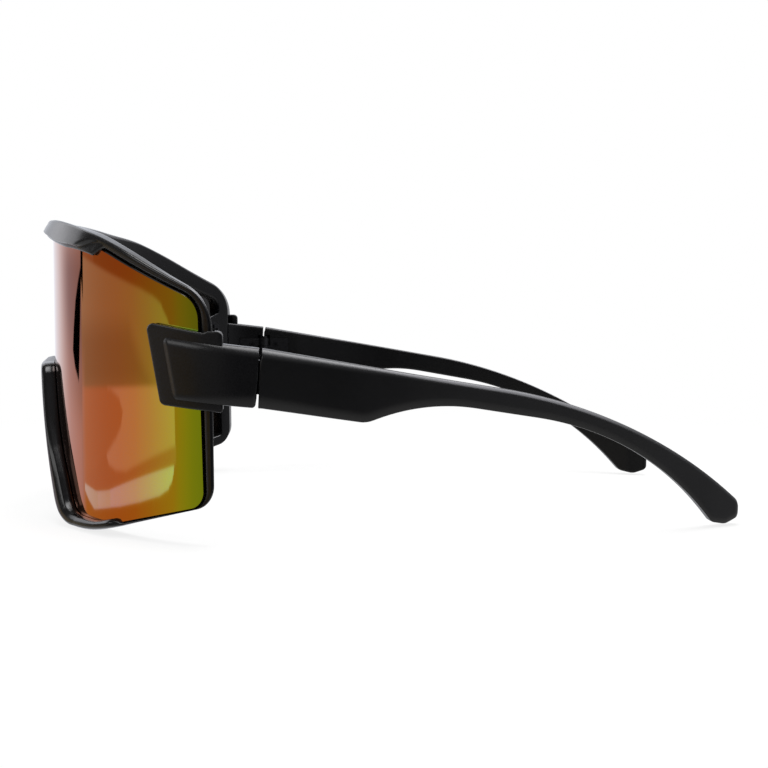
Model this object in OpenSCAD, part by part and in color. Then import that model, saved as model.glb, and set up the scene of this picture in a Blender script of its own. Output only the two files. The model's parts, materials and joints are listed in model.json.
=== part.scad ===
// Wrap-around shield sunglasses: one curved lens held in a moulded frame, folding temples.
// All modelling is done from the hinge line: x to the wearer's left, y to the back, z up,
// with z = 0 at the top of the hinge joint. The last step drops the part on its base.

/* [Lens] */
// Outer radius of the curved lens
lens_r = 74; // [68:0.5:82]
// Thickness of the lens
lens_t = 2; // [1.6:0.1:2.4]
// How far the lens wraps round from its centre to each side, in degrees
wrap_deg = 62.95; // [58:0.05:66]
// Height of the lens above the hinge top, at its centre
lens_up = 27; // [24:0.5:30]
// Depth of the lens below the hinge top, at its lobes
lens_down = 42; // [38:0.5:46]
// Distance from the rear edge of the frame back to the hinge line
setback = 10.1; // [9.5:0.1:12]
// Radius of the notch shoulder, over the nose
shoulder_r = 4.5; // [3.5:0.5:6]
// Radius of the lobe corner beside the nose
lobe_r = 7; // [5:0.5:9]
// Radius where the lobe turns up to the side
keel_r = 55; // [40:1:60]
// Radius of the lower rear corner
heel_r = 4; // [3:0.5:5]
// Radius of the upper rear corner
temple_corner_r = 6; // [4:0.5:8]
// Radius of the bend in the brow line
brow_r = 62; // [50:1:70]
// Radius of the crown over the nose
crown_r = 150; // [100:5:200]

/* [Frame] */
// Width of the frame outside the lens
rim_w = 3; // [2.4:0.1:3.4]
// How far the back of the frame tucks in at its rear edge
side_tuck = 3; // [2:0.1:3.4]
// Depth of the frame behind the lens
frame_depth = 2.8; // [2:0.1:4]
// Width of the ledge that the lens rests on
ledge_w = 3; // [2:0.1:3.4]
// Radius of the bend in the top edge of the frame
frame_brow_r = 115; // [90:5:125]
// How far the top of the brow bar falls to the back
brow_fall = 1.3; // [0.5:0.1:1.5]
// How far the brow bar stands out in front of the lens
brow_proud = 2.4; // [1.8:0.1:3.5]
// How far the nose rim stands out in front of the lens
nose_proud = 3.8; // [2.5:0.1:4.5]
// How far the side rim stands out from the lens face
rim_proud = 0.25; // [0.2:0.05:0.5]
// Most that the brow bar laps over the lens
brow_cover = 2.2; // [1.8:0.1:3]
// Most that the nose rim laps over the lens
nose_cover = 3; // [2:0.1:3.5]
// Where the brow bar ends, along the lens face from its centre
brow_end = 52.5; // [46:0.5:56]
// Where the nose rim ends, along the lens face from its centre
nose_end = 59; // [55:0.5:64]

/* [Endpieces] */
// Thickness of the plate over the lens
plate_t = 1.5; // [1.2:0.05:2]
// Front edge of the plate, in front of the hinge line, at its top
plate_front = 25.2; // [23:0.2:27]
// Rear end of the plate, in front of the hinge line
plate_rear = 8; // [7:0.2:9]
// Height of the plate above the hinge top, at its front corner
plate_up = 5.6; // [4.6:0.2:6.4]
// Depth of the plate below the hinge top, at its rear corner
plate_down = 13.9; // [13.4:0.1:15]
// Radius of the plate corners
plate_corner_r = 1.5; // [1:0.1:2]
// How far the arm stands out from the plate
arm_proud = 0.7; // [0.5:0.1:1.2]
// Front end of the arm, in front of the hinge line, at its top
arm_front = 20.5; // [18:0.5:22]
// Height of the arm and temple at the hinge
arm_h = 13; // [12.4:0.1:13.4]
// Thickness of the arm and temple at the hinge
arm_t = 6; // [5.5:0.1:7]
// Radius of the turn from the lens curve into the temple
cheek_r = 26; // [22:1:30]

/* [Temples] */
// Length from the hinge line to the end of the tip
temple_l = 113.6; // [105:0.5:122]
// Radius of the inward bow of the temple
bow_r = 222; // [190:2:250]
// Where the bow starts behind the hinge line
bow_start = 12; // [8:1:20]
// Thickness of the temple at its thinnest
temple_t = 3.8; // [3:0.1:4.5]
// Thickness of the temple at its tip
tip_t = 4.4; // [3.5:0.1:5.5]
// Width of the bevel along the upper edge, at the hinge
bevel = 1.5; // [1:0.1:1.8]
// Height of the soft bevel along the lower edge, at the hinge
under_bevel = 2.6; // [1.5:0.1:3.5]
// How far the bottom of the joint leans forward
joint_lean = 0.6; // [0:0.1:0.8]
// Gap between the arm and the temple at the hinge
joint_gap = 0.3; // [0.3:0.05:0.5]

/* [Hinge] */
// Height of the metal hinge
hinge_h = 6.8; // [6:0.1:7.4]
// Depth of the hinge top below the joint top
hinge_drop = 3.4; // [3:0.1:4]
// Radius of the hinge barrels
barrel_r = 1.5; // [1.3:0.05:1.7]
// Radius of the hinge screw
pin_r = 0.7; // [0.6:0.05:0.8]
// Length of each hinge leaf, from the hinge line
leaf_l = 7.4; // [7:0.1:8]
// Thickness of each hinge leaf
leaf_t = 0.8; // [0.6:0.05:1]

/* [Nosepiece] */
// Wall of the soft nosepiece
pad_t = 1.4; // [1:0.1:1.8]
// How far the nosepiece wings reach back from the frame
wing_l = 9; // [6:0.5:11]
// How far the wings spread apart as they reach back
wing_spread = 4; // [2:0.5:6]

/* [Fastenings] */
// Radius of the bosses that carry the endpieces
boss_r = 1.5; // [1.3:0.05:1.7]
// Radius of the endpiece screws
screw_r = 0.8; // [0.7:0.05:0.9]
// Radius of the leaf screws
leaf_screw_r = 0.5; // [0.4:0.05:0.6]

/* [Hidden] */
$fn = 48;

// Clearances and the overrun of every cut
seat_fit = 0.12;
plate_fit = 0.1;
rim_fit = 0.3;
bore_fit = 0.12;
screw_fit = 0.03;
pin_fit = 0.05;
leaf_fit = 0.1;
barrel_fit = 0.3;
knuckle_gap = 0.12;
over = 1;

// Length of half the lens along its face
lens_half = lens_r * wrap_deg * PI / 180;

// Radii of the layers, out from the lens axis
back_r = lens_r - lens_t - frame_depth;
seat_r = lens_r - lens_t - seat_fit;
plate_in_r = lens_r + rim_proud + plate_fit;
plate_out_r = plate_in_r + plate_t;
arm_r = plate_out_r + arm_proud;

// Corners of the right half of the lens, from the notch shoulder round to the crown:
// shares of the half length, and of the height up or the depth down
lens_corner_shares = [[0.2, -0.164], [0.418, -1], [0.618, -1], [1, -0.829], [0.985, 0.381],
    [0.563, 0.878], [0, 1]];
lens_corner_r = [shoulder_r, lobe_r, keel_r, heel_r, temple_corner_r, brow_r, crown_r];
// How far the frame corners lie outside the lens corners, as shares of the rim width
rim_shift_shares = [[-0.6, -1.13], [-1.13, -0.47], [-0.7, -0.47], [0.9, 0.17], [1.2, 0.15],
    [-0.96, 1.62], [0, 0.91]];
// How much rounder the frame corners are, as shares of the rim width
rim_round_shares = [0, 0.5, 0.5, 0.5, 1.5, 0, 0.5];
// How much each frame corner tucks in at the back
tuck_shares = [0, 0, 0, 1, 1, 0, 0];
// Steps round each corner, and along the edge that follows it
arc_steps = [6, 7, 4, 6, 6, 20, 4];
edge_steps = [6, 3, 12, 10, 4, 5];
notch_steps = 8;

function unit(v) = v / norm(v);
function mix(a, b, k) = a + (b - a) * k;
function clamp(x) = max(0, min(1, x));
function ease(x) = let (c = clamp(x)) c * c * (3 - 2 * c);
function turned(v, a) = [v[0] * cos(a) - v[1] * sin(a), v[0] * sin(a) + v[1] * cos(a)];
function flipped(list) = [for (i = [len(list) - 1 : -1 : 0]) list[i]];
function total(list, n, i = 0) = i >= n ? 0 : list[i] + total(list, n, i + 1);

// A point s along the lens face, z up and r out from the lens axis
function wrap_angle(s) = s / lens_r * 180 / PI;
function along(angle) = angle / 180 * PI * lens_r;
function wrap(s, z, r) = let (a = wrap_angle(s)) [r * sin(a), axis_y - r * cos(a), z];

// The arc that rounds corner p between a and b
function corner_arc(a, p, b, r, steps) =
    let (u = unit(a - p), v = unit(b - p), half = acos(u * v) / 2,
        centre = p + unit(u + v) * r / sin(half), first = p + u * r / tan(half) - centre,
        turn = (180 - 2 * half) * sign(u[1] * v[0] - u[0] * v[1]))
    [for (k = [0 : steps]) centre + turned(first, turn * k / steps)];

// A closed outline with rounded corners and stepped edges
function rounded_loop(corners, radii, arcs, edges) =
    let (n = len(corners), rounds = [for (i = [0 : n - 1])
        corner_arc(corners[(i + n - 1) % n], corners[i], corners[(i + 1) % n], radii[i], arcs[i])])
    [for (i = [0 : n - 1]) let (from = rounds[i][arcs[i]], to = rounds[(i + 1) % n][0])
        each concat(rounds[i], [for (k = [1 : 1 : edges[i] - 1]) mix(from, to, k / edges[i])])];

// An open line with rounded corners and stepped edges
function rounded_line(corners, radii, arcs, edges) =
    let (n = len(corners), rounds = [for (i = [0 : n - 1]) i == 0 || i == n - 1 ? [corners[i]]
        : corner_arc(corners[i - 1], corners[i], corners[i + 1], radii[i], arcs[i])])
    [for (i = [0 : n - 1]) each i == n - 1 ? rounds[i]
        : let (from = rounds[i][len(rounds[i]) - 1], to = rounds[i + 1][0])
            concat(rounds[i], [for (k = [1 : 1 : edges[i] - 1]) mix(from, to, k / edges[i])])];

// Full outlines of the lens, of the frame outside it and of the back of the frame
function both(half) = concat(half, [for (i = [5 : -1 : 0]) half[i]]);
function both_sides(half) = concat(half, [for (i = [5 : -1 : 0]) [-half[i][0], half[i][1]]]);
lens_corners = [for (c = lens_corner_shares) [c[0] * lens_half, c[1] * (c[1] < 0 ? lens_down : lens_up)]];
frame_corners = lens_corners + rim_shift_shares * rim_w;
back_corners = [for (i = [0 : 6]) frame_corners[i] - [tuck_shares[i] * side_tuck, 0]];
frame_corner_r = [for (i = [0 : 6]) i == 5 ? frame_brow_r : lens_corner_r[i] + rim_round_shares[i] * rim_w];
loop_arcs = both(arc_steps);
loop_edges = concat(edge_steps, flipped(edge_steps), [notch_steps]);
function full_loop(corners, radii) = rounded_loop(both_sides(corners), both(radii), loop_arcs, loop_edges);
lens_loop = full_loop(lens_corners, lens_corner_r);
loop_n = len(lens_loop);

// Along the brow each point of the frame's edge lies straight above that of the lens, and its
// back edge falls; shares of the half length between which both fade out to the side
above_shares = [0.79, 0.94];
fall_shares = [0.4, 0.6];
function fading(p, shares) = p[1] < 0 ? 0
    : ease((shares[1] - abs(p[0]) / lens_half) / (shares[1] - shares[0]));
function above(line, fall) =
    let (top = [for (q = line) if (q[0] > -over && q[1] > 0) q])
    [for (i = [0 : loop_n - 1]) let (p = lens_loop[i], straight = [p[0], lookup(abs(p[0]), top)])
        mix(line[i], straight, fading(p, above_shares)) - [0, fall * fading(p, fall_shares)]];
frame_loop = above(full_loop(frame_corners, frame_corner_r), 0);
back_loop = above(full_loop(back_corners, frame_corner_r), brow_fall);

// The lens axis lies behind the hinge line so that the frame's rear edge keeps its setback
axis_y = min((lens_r + rim_proud) * cos(wrap_angle(frame_corners[3][0])),
    back_r * cos(wrap_angle(back_corners[3][0]))) - setback;
wall_y = -setback;

// Unit vector into the lens, at each point of its outline
function inward(i) = let (t = unit(lens_loop[(i + 1) % loop_n] - lens_loop[(i + loop_n - 1) % loop_n]))
    [-t[1], t[0]];

// Profile of the frame, as rows of share of cover, share of reveal and share of its rise
rim_front_shares = [[0, 0.2, -1.1], [0, 0.25, -0.6], [0, 0.3, 0], [0, 0.4, 0.7], [0, 0.55, 0.95],
    [0, 0.8, 1], [0, 0.95, 0.4], [0, 1, -1.4]];
brow_front_shares = [[0, 0.2, 0], [1, 0, 0], [1, 0, 0.35], [0.7, 0, 0.58], [0.35, 0, 0.62],
    [0, 0.12, 1], [0, 0.93, 0.36], [0, 1, 0.1]];
// The same farther out, where the brow face reaches lower, and where a scoop opens under it
low_front_shares = [[0, 0.2, 0], [1, 0, 0], [1, 0, 0.35], [0.75, 0, 0.5], [0.58, 0, 0.55],
    [0.45, 0, 1], [0, 0.93, 0.36], [0, 1, 0.1]];
scoop_front_shares = [[0, 0.2, 0], [1, 0, 0], [1, 0, 0.3], [0.75, 0, 0.5], [0.3, 0, 0.25],
    [0, 0.6, 0.8], [0, 0.93, 0.5], [0, 1, 0.1]];
// Where each of these starts and is reached, as shares of the brow bar
low_start_share = 0.25;
low_full_share = 0.65;
scoop_start_share = 0.8;
scoop_open_share = 0.97;
nose_front_shares = [[0, 0.2, 0], [1, 0, 0], [1, 0, 0.34], [0.85, 0, 0.7], [0.4, 0, 0.95],
    [0, 0.2, 1], [0, 0.65, 0.87], [0, 1, 0.5]];
// Lap of the brow bar and of the nose rim, by share of the half length
brow_cover_shares = [[0, 0.34], [0.15, 0.34], [0.3, 0.68], [0.42, 1], [0.5, 1], [0.6, 0.95], [0.64, 0.6]];
nose_cover_shares = [[0, 0.87], [0.25, 1], [0.42, 0.67], [0.5, 0.45], [0.6, 0.35], [0.73, 0.5]];
// Rise of the nose rim, by share of the half length
nose_rise_shares = [[0, 1], [0.3, 1], [0.5, 0.7], [0.73, 0.55]];
// Length over which the lip ends, and over which the brow face fades, as shares of the brow bar
lip_fade_share = 0.075;
face_fade_share = 0.2;
// Back edge of the frame: where it turns, as shares of the reveal and of the depth
back_turn_shares = [0.7, 0.6];

// Wider ledge behind each endpiece, for its screws
boss_plate_share = 0.57;
boss_z_shares = [0.03, 0.68];
boss_s = along(acos((axis_y + mix(plate_rear, plate_front, boss_plate_share)) / lens_r));
boss_z = [for (k = boss_z_shares) -k * arm_h];
ledge_extra = lens_half - boss_s - ledge_w + 2.4 * boss_r;
ledge_fade = boss_r;
// The screw heads sit in shallow flat seats in the back of the ledge
screw_head_r = boss_r + 0.7;
screw_head_h = 0.9;
seat_depth = 0.25;
head_seat_r = back_r + seat_depth;
function ledge(p) = ledge_w + (abs(p[0]) < boss_s ? 0 : ledge_extra
    * ease((p[1] - boss_z[1] + 2 * boss_r) / ledge_fade + 1)
    * ease((boss_z[0] + 2 * boss_r - p[1]) / ledge_fade + 1));

// One section of the frame at point i of the outline: rows of position and radius
function frame_rows(i) =
    let (p = lens_loop[i], s = abs(p[0]), share = s / lens_half, upper = p[1] > 0,
        end = upper ? brow_end : nose_end,
        lip = ease((end - s) / (lip_fade_share * end)),
        face = upper ? ease((end - s) / (face_fade_share * end)) : lip,
        cover = upper ? brow_cover * lookup(share, brow_cover_shares)
            : nose_cover * lookup(share, nose_cover_shares),
        proud = upper ? brow_proud : nose_proud * lookup(share, nose_rise_shares),
        along_bar = s / brow_end,
        low = ease((along_bar - low_start_share) / (low_full_share - low_start_share)),
        scoop = ease((along_bar - scoop_start_share) / (scoop_open_share - scoop_start_share)))
    [for (j = [0 : 7]) let (k = j < 4 ? lip : face, a = rim_front_shares[j],
        b = upper ? mix(mix(brow_front_shares[j], low_front_shares[j], low), scoop_front_shares[j], scoop)
            : nose_front_shares[j],
        fit = j < 2 ? seat_fit : 0)
        [mix(0, b[0] * cover, k), mix(a[1], b[1], k), lens_r + mix(a[2] * rim_proud, b[2] * proud + fit, k)]];
function frame_ring(i) =
    let (p = lens_loop[i], m = inward(i),
        rows = concat([[ledge(p), 0, back_r], [ledge(p), 0, seat_r], [0, rim_front_shares[0][1], seat_r]],
            frame_rows(i),
            [[0, 1, mix(back_r, seat_r, back_turn_shares[1])], [0, back_turn_shares[0], back_r]]))
    [for (row = rows) let (q = mix(frame_loop[i], back_loop[i], clamp((lens_r - row[2]) / (lens_r - back_r))),
        at = p + m * row[0] + (q - p) * row[1]) wrap(at[0], at[1], row[2])];

// A closed ring of sections, or an open one with ends
module swept(rings, closed) {
    n = len(rings);
    m = len(rings[0]);
    last = closed ? n - 1 : n - 2;
    sides = [for (i = [0 : last]) for (j = [0 : m - 1])
        let (a = i * m + j, b = i * m + (j + 1) % m, c = (i + 1) % n * m + j, d = (i + 1) % n * m + (j + 1) % m)
            each [[a, c, b], [b, c, d]]];
    ends = closed ? [] : [[for (j = [0 : m - 1]) j], [for (j = [m - 1 : -1 : 0]) (n - 1) * m + j]];
    polyhedron([for (ring = rings) each ring], concat(sides, ends));
}

// A cutter with radial walls over an outline, which has a clear view from its middle
module radial_block(outline, middle, r1, r2) {
    n = len(outline);
    inner = [for (p = outline) wrap(p[0], p[1], r1)];
    outer = [for (p = outline) wrap(p[0], p[1], r2)];
    walls = [for (i = [0 : n - 1]) let (k = (i + 1) % n)
        each [[i, n + k, k], [i, n + i, n + k], [2 * n, i, k], [2 * n + 1, n + k, n + i]]];
    polyhedron(concat(inner, outer, [wrap(middle[0], middle[1], r1), wrap(middle[0], middle[1], r2)]), walls);
}

// Sets a child at radius r1 so that its z axis points out from the lens axis
module outward_at(s, z, r1) {
    translate([0, axis_y, z])
        rotate([0, 0, wrap_angle(s)])
            rotate([90, 0, 0])
                translate([0, 0, r1])
                    children();
}

module radial_pin(s, z, r, r1, r2) {
    outward_at(s, z, r1) cylinder(r = r, h = r2 - r1);
}

// Frame

module frame_body() {
    difference() {
        swept([for (i = [0 : loop_n - 1]) frame_ring(i)], true);
        for (side = [-1, 1])
            for (z = boss_z) {
                radial_pin(side * boss_s, z, boss_r + bore_fit, back_r - over, plate_in_r);
                radial_pin(side * boss_s, z, screw_head_r + bore_fit, back_r - over, head_seat_r);
            }
    }
}

module frame() {
    color([0.05, 0.05, 0.055]) frame_body();
}

// Lens

// Middle of the fan that closes each half, as shares of the half length and of the depth
fan_shares = [0.5, -0.12];

module half_lens_block() {
    half_points = [for (p = lens_loop) if (p[0] > 0) p];
    seam = [for (i = [1 : len(half_points) - 1])
        if (half_points[i][1] < 0 && half_points[i - 1][1] > 0) i][0];
    before = [for (i = [0 : seam - 1]) half_points[i]];
    after = [for (i = [seam : 1 : len(half_points) - 1]) half_points[i]];
    radial_block(concat(before, [[-over, before[seam - 1][1]], [-over, after[0][1]]], after),
        [fan_shares[0] * lens_half, fan_shares[1] * lens_down], back_r - 4 * over, plate_out_r + 8 * over);
}

module lens() {
    color([0.62, 0.38, 0.13])
        difference() {
            intersection() {
                translate([0, axis_y, -lens_down - over])
                    difference() {
                        cylinder(r = lens_r, h = lens_up + lens_down + 2 * over, $fn = 180);
                        translate([0, 0, -over])
                            cylinder(r = lens_r - lens_t, h = lens_up + lens_down + 4 * over, $fn = 180);
                    }
                union() {
                    half_lens_block();
                    mirror([1, 0, 0]) half_lens_block();
                }
            }
            for (side = [-1, 1])
                for (z = boss_z)
                    radial_pin(side * boss_s, z, boss_r + bore_fit, back_r, plate_out_r);
        }
}

// Plan of the arm and temple: their outer face, by distance behind the hinge line

// The cheek arc leaves the arm's curve a little before the lens ends, and runs into the temple
cheek_lead_deg = 2.4;
cheek_angle = wrap_deg - cheek_lead_deg;
cheek_x = (arm_r - cheek_r) * sin(cheek_angle);
cheek_y = axis_y - (arm_r - cheek_r) * cos(cheek_angle);
half_w = cheek_x + cheek_r;
arm_in = half_w - arm_t;
function outer_x(y) = y > bow_start ? half_w - bow_r + sqrt(bow_r * bow_r - pow(y - bow_start, 2))
    : y > cheek_y ? half_w
    : y > axis_y - arm_r * cos(cheek_angle) ? cheek_x + sqrt(cheek_r * cheek_r - pow(y - cheek_y, 2))
    : sqrt(arm_r * arm_r - pow(y - axis_y, 2));

// Depth of the whole part below the hinge top, where the lobes and the tips rest
base_h = -frame_corners[1][1];

// Side view of the temple: corners as shares of its length and of the depth to the base
top_corner_shares = [[0, 0], [0.755, -0.344], [1, -0.878]];
under_corner_shares = [[0.202, -0.377], [0.319, -0.268], [0.774, -0.472], [0.932, -0.978],
    [0.966, -0.997], [1, -0.962]];
// Radii of the upper bend, the step, the rise behind it, the lower bend and the tip
drop_r_share = 1.094;
under_r_shares = [0, 0.053, 0.38, 0.635, 0.02, 0.03, 0];
bend_steps = 14;
step_steps = 4;
function on_temple(list) = [for (c = list) [c[0] * temple_l, c[1] * base_h]];
top_line = rounded_line(on_temple(top_corner_shares), [0, drop_r_share * temple_l, 0], [0, bend_steps, 0],
    [1, 1, 1]);
under_line = rounded_line(concat([[0, -arm_h]], on_temple(under_corner_shares)), under_r_shares * temple_l,
    [0, step_steps, step_steps, bend_steps, step_steps, step_steps, 0], [1, 1, 1, 1, 1, 1, 1]);
// Thickness of the temple and size of its bevels, by share of the length
thick_line = [[0, arm_t], [0.09, arm_t], [0.3, temple_t], [0.75, temple_t], [0.95, tip_t], [1, 0.8 * tip_t]];
bevel_shares = [[0, 1], [0.25, 0.6], [1, 0.55]];
under_bevel_shares = [[0, 1], [0.25, 0.7], [1, 0.55]];
// Depth of each bevel, as a share of its height
bevel_depth_share = 0.8;
under_depth_share = 0.25;
inner_round_share = 0.3;

// A section of the arm or temple: x and z of its eight corners
function bar_section(x, t, top, low, b, c) = let (e = inner_round_share * b)
    [[x - t + e, low], [x - t, low + e], [x - t, top - e], [x - t + e, top],
        [x - bevel_depth_share * b, top], [x, top - b], [x, low + c], [x - under_depth_share * c, low]];

// Stations along the temple as shares of its length, closer together at the step and tip
station_shares = [0.03, 0.08, 0.13, 0.17, 0.19, 0.2, 0.208, 0.218, 0.235, 0.255, 0.275, 0.295, 0.32, 0.36,
    0.42, 0.48, 0.54, 0.6, 0.66, 0.72, 0.77, 0.82, 0.86, 0.9, 0.93, 0.945, 0.96, 0.975, 0.99, 1];
temple_start = joint_gap / 2;

function temple_ring(y) = let (k = y / temple_l, top = lookup(y, top_line))
    [for (q = bar_section(outer_x(y), lookup(k, thick_line), top, lookup(y, under_line),
        bevel * lookup(k, bevel_shares), under_bevel * lookup(k, under_bevel_shares)))
        [q[0], y + (y == temple_start ? joint_lean * q[1] / arm_h : 0), q[1]]];

// The arm: its front end leans, and its edges rise and fall to the front
arm_lean = 2.4;
arm_rise_share = 0.185;
arm_lift_share = 0.13;
arm_steps = 12;
arm_rear = -joint_gap / 2;
function arm_ring(k) =
    let (y = mix(-arm_front, arm_rear, k), top = mix(arm_rise_share * arm_h, 0, k),
        low = mix((arm_lift_share - 1) * arm_h, -arm_h, k), b = bevel * mix(0.8, 1, k),
        flat = bar_section(0, arm_t, top, low, b, under_bevel * mix(0.5, 1, k)))
    [for (q = flat) let (lean = (1 - k) * arm_lean * (top - q[1]) / (top - low), x = outer_x(y + lean))
        [x + q[0], y + lean + k * joint_lean * q[1] / arm_h, q[1]]];

// The front end of the arm is bevelled too
function arm_front_ring() = let (full = arm_ring(0), n = len(full))
    [for (q = full) [q[0] - 2 * bevel_depth_share * bevel * (q[0] > outer_x(q[1]) - arm_t / 2 ? 1 : 0),
        q[1] - bevel, q[2]]];

// Small notches that open the joint at its top and bottom
top_notch_w = 0.6;
low_notch_w = 0.3;
notch_h = 2.5;
module joint_notch(side, z, up, notch_w) {
    y = side * joint_gap / 2 + joint_lean * z / arm_h;
    rotate([90, 0, 90])
        linear_extrude(2 * half_w)
            polygon([[y - side * over, z - up * notch_h], [y, z - up * notch_h], [y + side * notch_w, z],
                [y + side * notch_w, z + up * over], [y - side * over, z + up * over]]);
}

// Pocket for the hinge barrels and one leaf; side is -1 ahead of the hinge line, 1 behind it
leaf_start = barrel_r + barrel_fit + leaf_fit;
hinge_low = -hinge_drop - hinge_h;
head_r = 1.7 * pin_r;
head_h = 0.9 * pin_r;
knuckle_h = (hinge_h - 2 * knuckle_gap) / 3;
leaf_screw_y = [0.48, 0.82];
leaf_screw_z = [0.27, 0.73];
leaf_screw_l = 3.6;
leaf_head_r = 1.7 * leaf_screw_r;
leaf_head_h = leaf_screw_r;

module hinge_pocket(side) {
    translate([arm_in, 0, hinge_low - barrel_fit])
        cylinder(r = barrel_r + barrel_fit, h = hinge_h + 2 * barrel_fit + head_h);
    translate([arm_in - over, side < 0 ? -leaf_l - leaf_fit : 0, hinge_low - leaf_fit])
        cube([over + leaf_t + leaf_fit, leaf_l + leaf_fit, hinge_h + 2 * leaf_fit]);
    leaf_screws(side, screw_fit);
}

// Cross recess cut into a screw head of radius r and height h, from its face at z = 0 upwards
recess_l_share = 0.62;
recess_w_share = 0.22;
recess_depth_share = 0.6;
module cross_recess(r, h) {
    for (turn = [0, 90])
        rotate([0, 0, turn])
            translate([-recess_l_share * r, -recess_w_share * r / 2, -over])
                cube([2 * recess_l_share * r, recess_w_share * r, over + recess_depth_share * h]);
}

// One screw above the other in each leaf, set apart along it
module leaf_screws(side, grow) {
    for (k = [0, 1])
        translate([arm_in, side * leaf_screw_y[k] * leaf_l, -hinge_drop - leaf_screw_z[k] * hinge_h])
            rotate([0, 90, 0])
                difference() {
                    union() {
                        cylinder(r = leaf_screw_r + grow, h = leaf_screw_l + grow);
                        cylinder(r1 = leaf_head_r + grow, r2 = leaf_screw_r + grow, h = leaf_head_h);
                    }
                    if (grow == 0) cross_recess(leaf_head_r, leaf_head_h);
                }
}

module barrel(low, high) {
    translate([arm_in, 0, low])
        cylinder(r = barrel_r, h = high - low);
}

// The leaf plate, with a tongue to each of its knuckles
module leaf_plate(side) {
    translate([arm_in, side < 0 ? -leaf_l : leaf_start, hinge_low])
        cube([leaf_t, leaf_l - leaf_start, hinge_h]);
}

module tongue(side, low, high) {
    translate([arm_in, side < 0 ? -leaf_start - over / 2 : 0, low])
        cube([leaf_t, leaf_start + over / 2, high - low]);
}

module hinge_bore() {
    translate([arm_in, 0, hinge_low - over])
        cylinder(r = pin_r + pin_fit, h = hinge_h + 2 * over);
}

lower_low = hinge_low;
lower_high = hinge_low + knuckle_h;
middle_low = lower_high + knuckle_gap;
middle_high = middle_low + knuckle_h;
upper_low = middle_high + knuckle_gap;
upper_high = -hinge_drop;

// Endpieces

// Plan of the plate: its outer face lies inside that of the arm by the arm's step
module plate_plan() {
    big = arm_r + over;
    intersection() {
        union() {
            difference() {
                intersection() {
                    translate([0, axis_y]) circle(r = plate_out_r, $fn = 120);
                    polygon([[0, axis_y], [big * sin(cheek_angle), axis_y - big * cos(cheek_angle)],
                        [big * sin(cheek_angle), axis_y - 2 * big], [0, axis_y - 2 * big]]);
                }
                translate([0, axis_y]) circle(r = plate_in_r - over, $fn = 120);
            }
            intersection() {
                union() {
                    translate([cheek_x, cheek_y]) circle(r = cheek_r - arm_proud, $fn = 120);
                    translate([cheek_x, cheek_y]) square([cheek_r - arm_proud, -cheek_y]);
                }
                translate([arm_in, -2 * arm_front]) square([arm_t, 2 * arm_front]);
            }
        }
        translate([0, -2 * plate_front]) square([half_w, 2 * plate_front - plate_rear]);
    }
}

// Side view of the plate; its top lifts into a small tab at the rear
plate_lean = 3.3;
plate_low_lift = 1.3;
tab_up_share = 0.66;
tab_dip_share = 0.6;
tab_l = 3.5;
tab_slope = 0.7;
module plate_side() {
    polygon(rounded_loop([[-plate_front, plate_up], [plate_lean - plate_front, plate_low_lift - plate_down],
        [-plate_rear, -plate_down], [-plate_rear, tab_up_share * plate_up],
        [-plate_rear - tab_l, tab_up_share * plate_up],
        [-plate_rear - tab_l - tab_slope, tab_dip_share * plate_up]],
        [plate_corner_r, plate_corner_r, plate_corner_r / 2, plate_corner_r, tab_l / 4, tab_l / 4],
        [5, 5, 4, 5, 2, 2], [1, 1, 1, 1, 1, 1]));
}

// Everything inside the plate: the lens and the frame with a little air round them
module front_room() {
    intersection() {
        translate([0, axis_y, -2 * arm_h]) cylinder(r = plate_in_r, h = 4 * arm_h, $fn = 120);
        translate([0, -2 * arm_front - 2 * over, -2 * arm_h])
            cube([2 * half_w, 2 * arm_front + 2 * over + wall_y + rim_fit, 4 * arm_h]);
    }
}

module endpiece() {
    difference() {
        union() {
            difference() {
                union() {
                    intersection() {
                        translate([0, 0, -2 * arm_h]) linear_extrude(4 * arm_h) plate_plan();
                        rotate([90, 0, 90]) linear_extrude(2 * half_w) plate_side();
                    }
                    swept(concat([arm_front_ring()], [for (k = [0 : arm_steps]) arm_ring(k / arm_steps)]),
                        false);
                }
                front_room();
            }
            for (z = boss_z)
                radial_pin(boss_s, z, boss_r, head_seat_r + rim_fit, mix(plate_in_r, plate_out_r, 0.5));
        }
        for (z = boss_z)
            radial_pin(boss_s, z, screw_r + screw_fit, back_r - over, mix(plate_in_r, plate_out_r, 0.5));
        hinge_pocket(-1);
        joint_notch(-1, -arm_h, -1, low_notch_w);
    }
}

module endpiece_left() {
    color([0.07, 0.07, 0.08]) endpiece();
}

module endpiece_right() {
    color([0.07, 0.07, 0.08]) mirror([1, 0, 0]) endpiece();
}

// Screws through the frame from behind, into the bosses
module endpiece_screws() {
    color([0.55, 0.55, 0.57])
        for (side = [-1, 1])
            for (z = boss_z) {
                radial_pin(side * boss_s, z, screw_r, head_seat_r - screw_head_h / 4, plate_in_r);
                outward_at(side * boss_s, z, head_seat_r - screw_head_h)
                    difference() {
                        cylinder(r = screw_head_r, h = screw_head_h);
                        cross_recess(screw_head_r, screw_head_h);
                    }
            }
}

// Hinges

module front_hinge() {
    difference() {
        union() {
            leaf_plate(-1);
            tongue(-1, lower_low, lower_high);
            tongue(-1, upper_low, upper_high);
            barrel(lower_low, lower_high);
            barrel(upper_low, upper_high);
        }
        hinge_bore();
        leaf_screws(-1, screw_fit);
    }
}

module temple_hinge() {
    difference() {
        union() {
            leaf_plate(1);
            tongue(1, middle_low, middle_high);
            barrel(middle_low, middle_high);
        }
        hinge_bore();
        leaf_screws(1, screw_fit);
    }
}

module hinge_screw() {
    translate([arm_in, 0, hinge_low]) {
        cylinder(r = pin_r, h = hinge_h + head_h / 4);
        translate([0, 0, hinge_h])
            difference() {
                cylinder(r = head_r, h = head_h);
                translate([0, 0, head_h]) mirror([0, 0, 1]) cross_recess(head_r, head_h);
            }
    }
}

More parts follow.
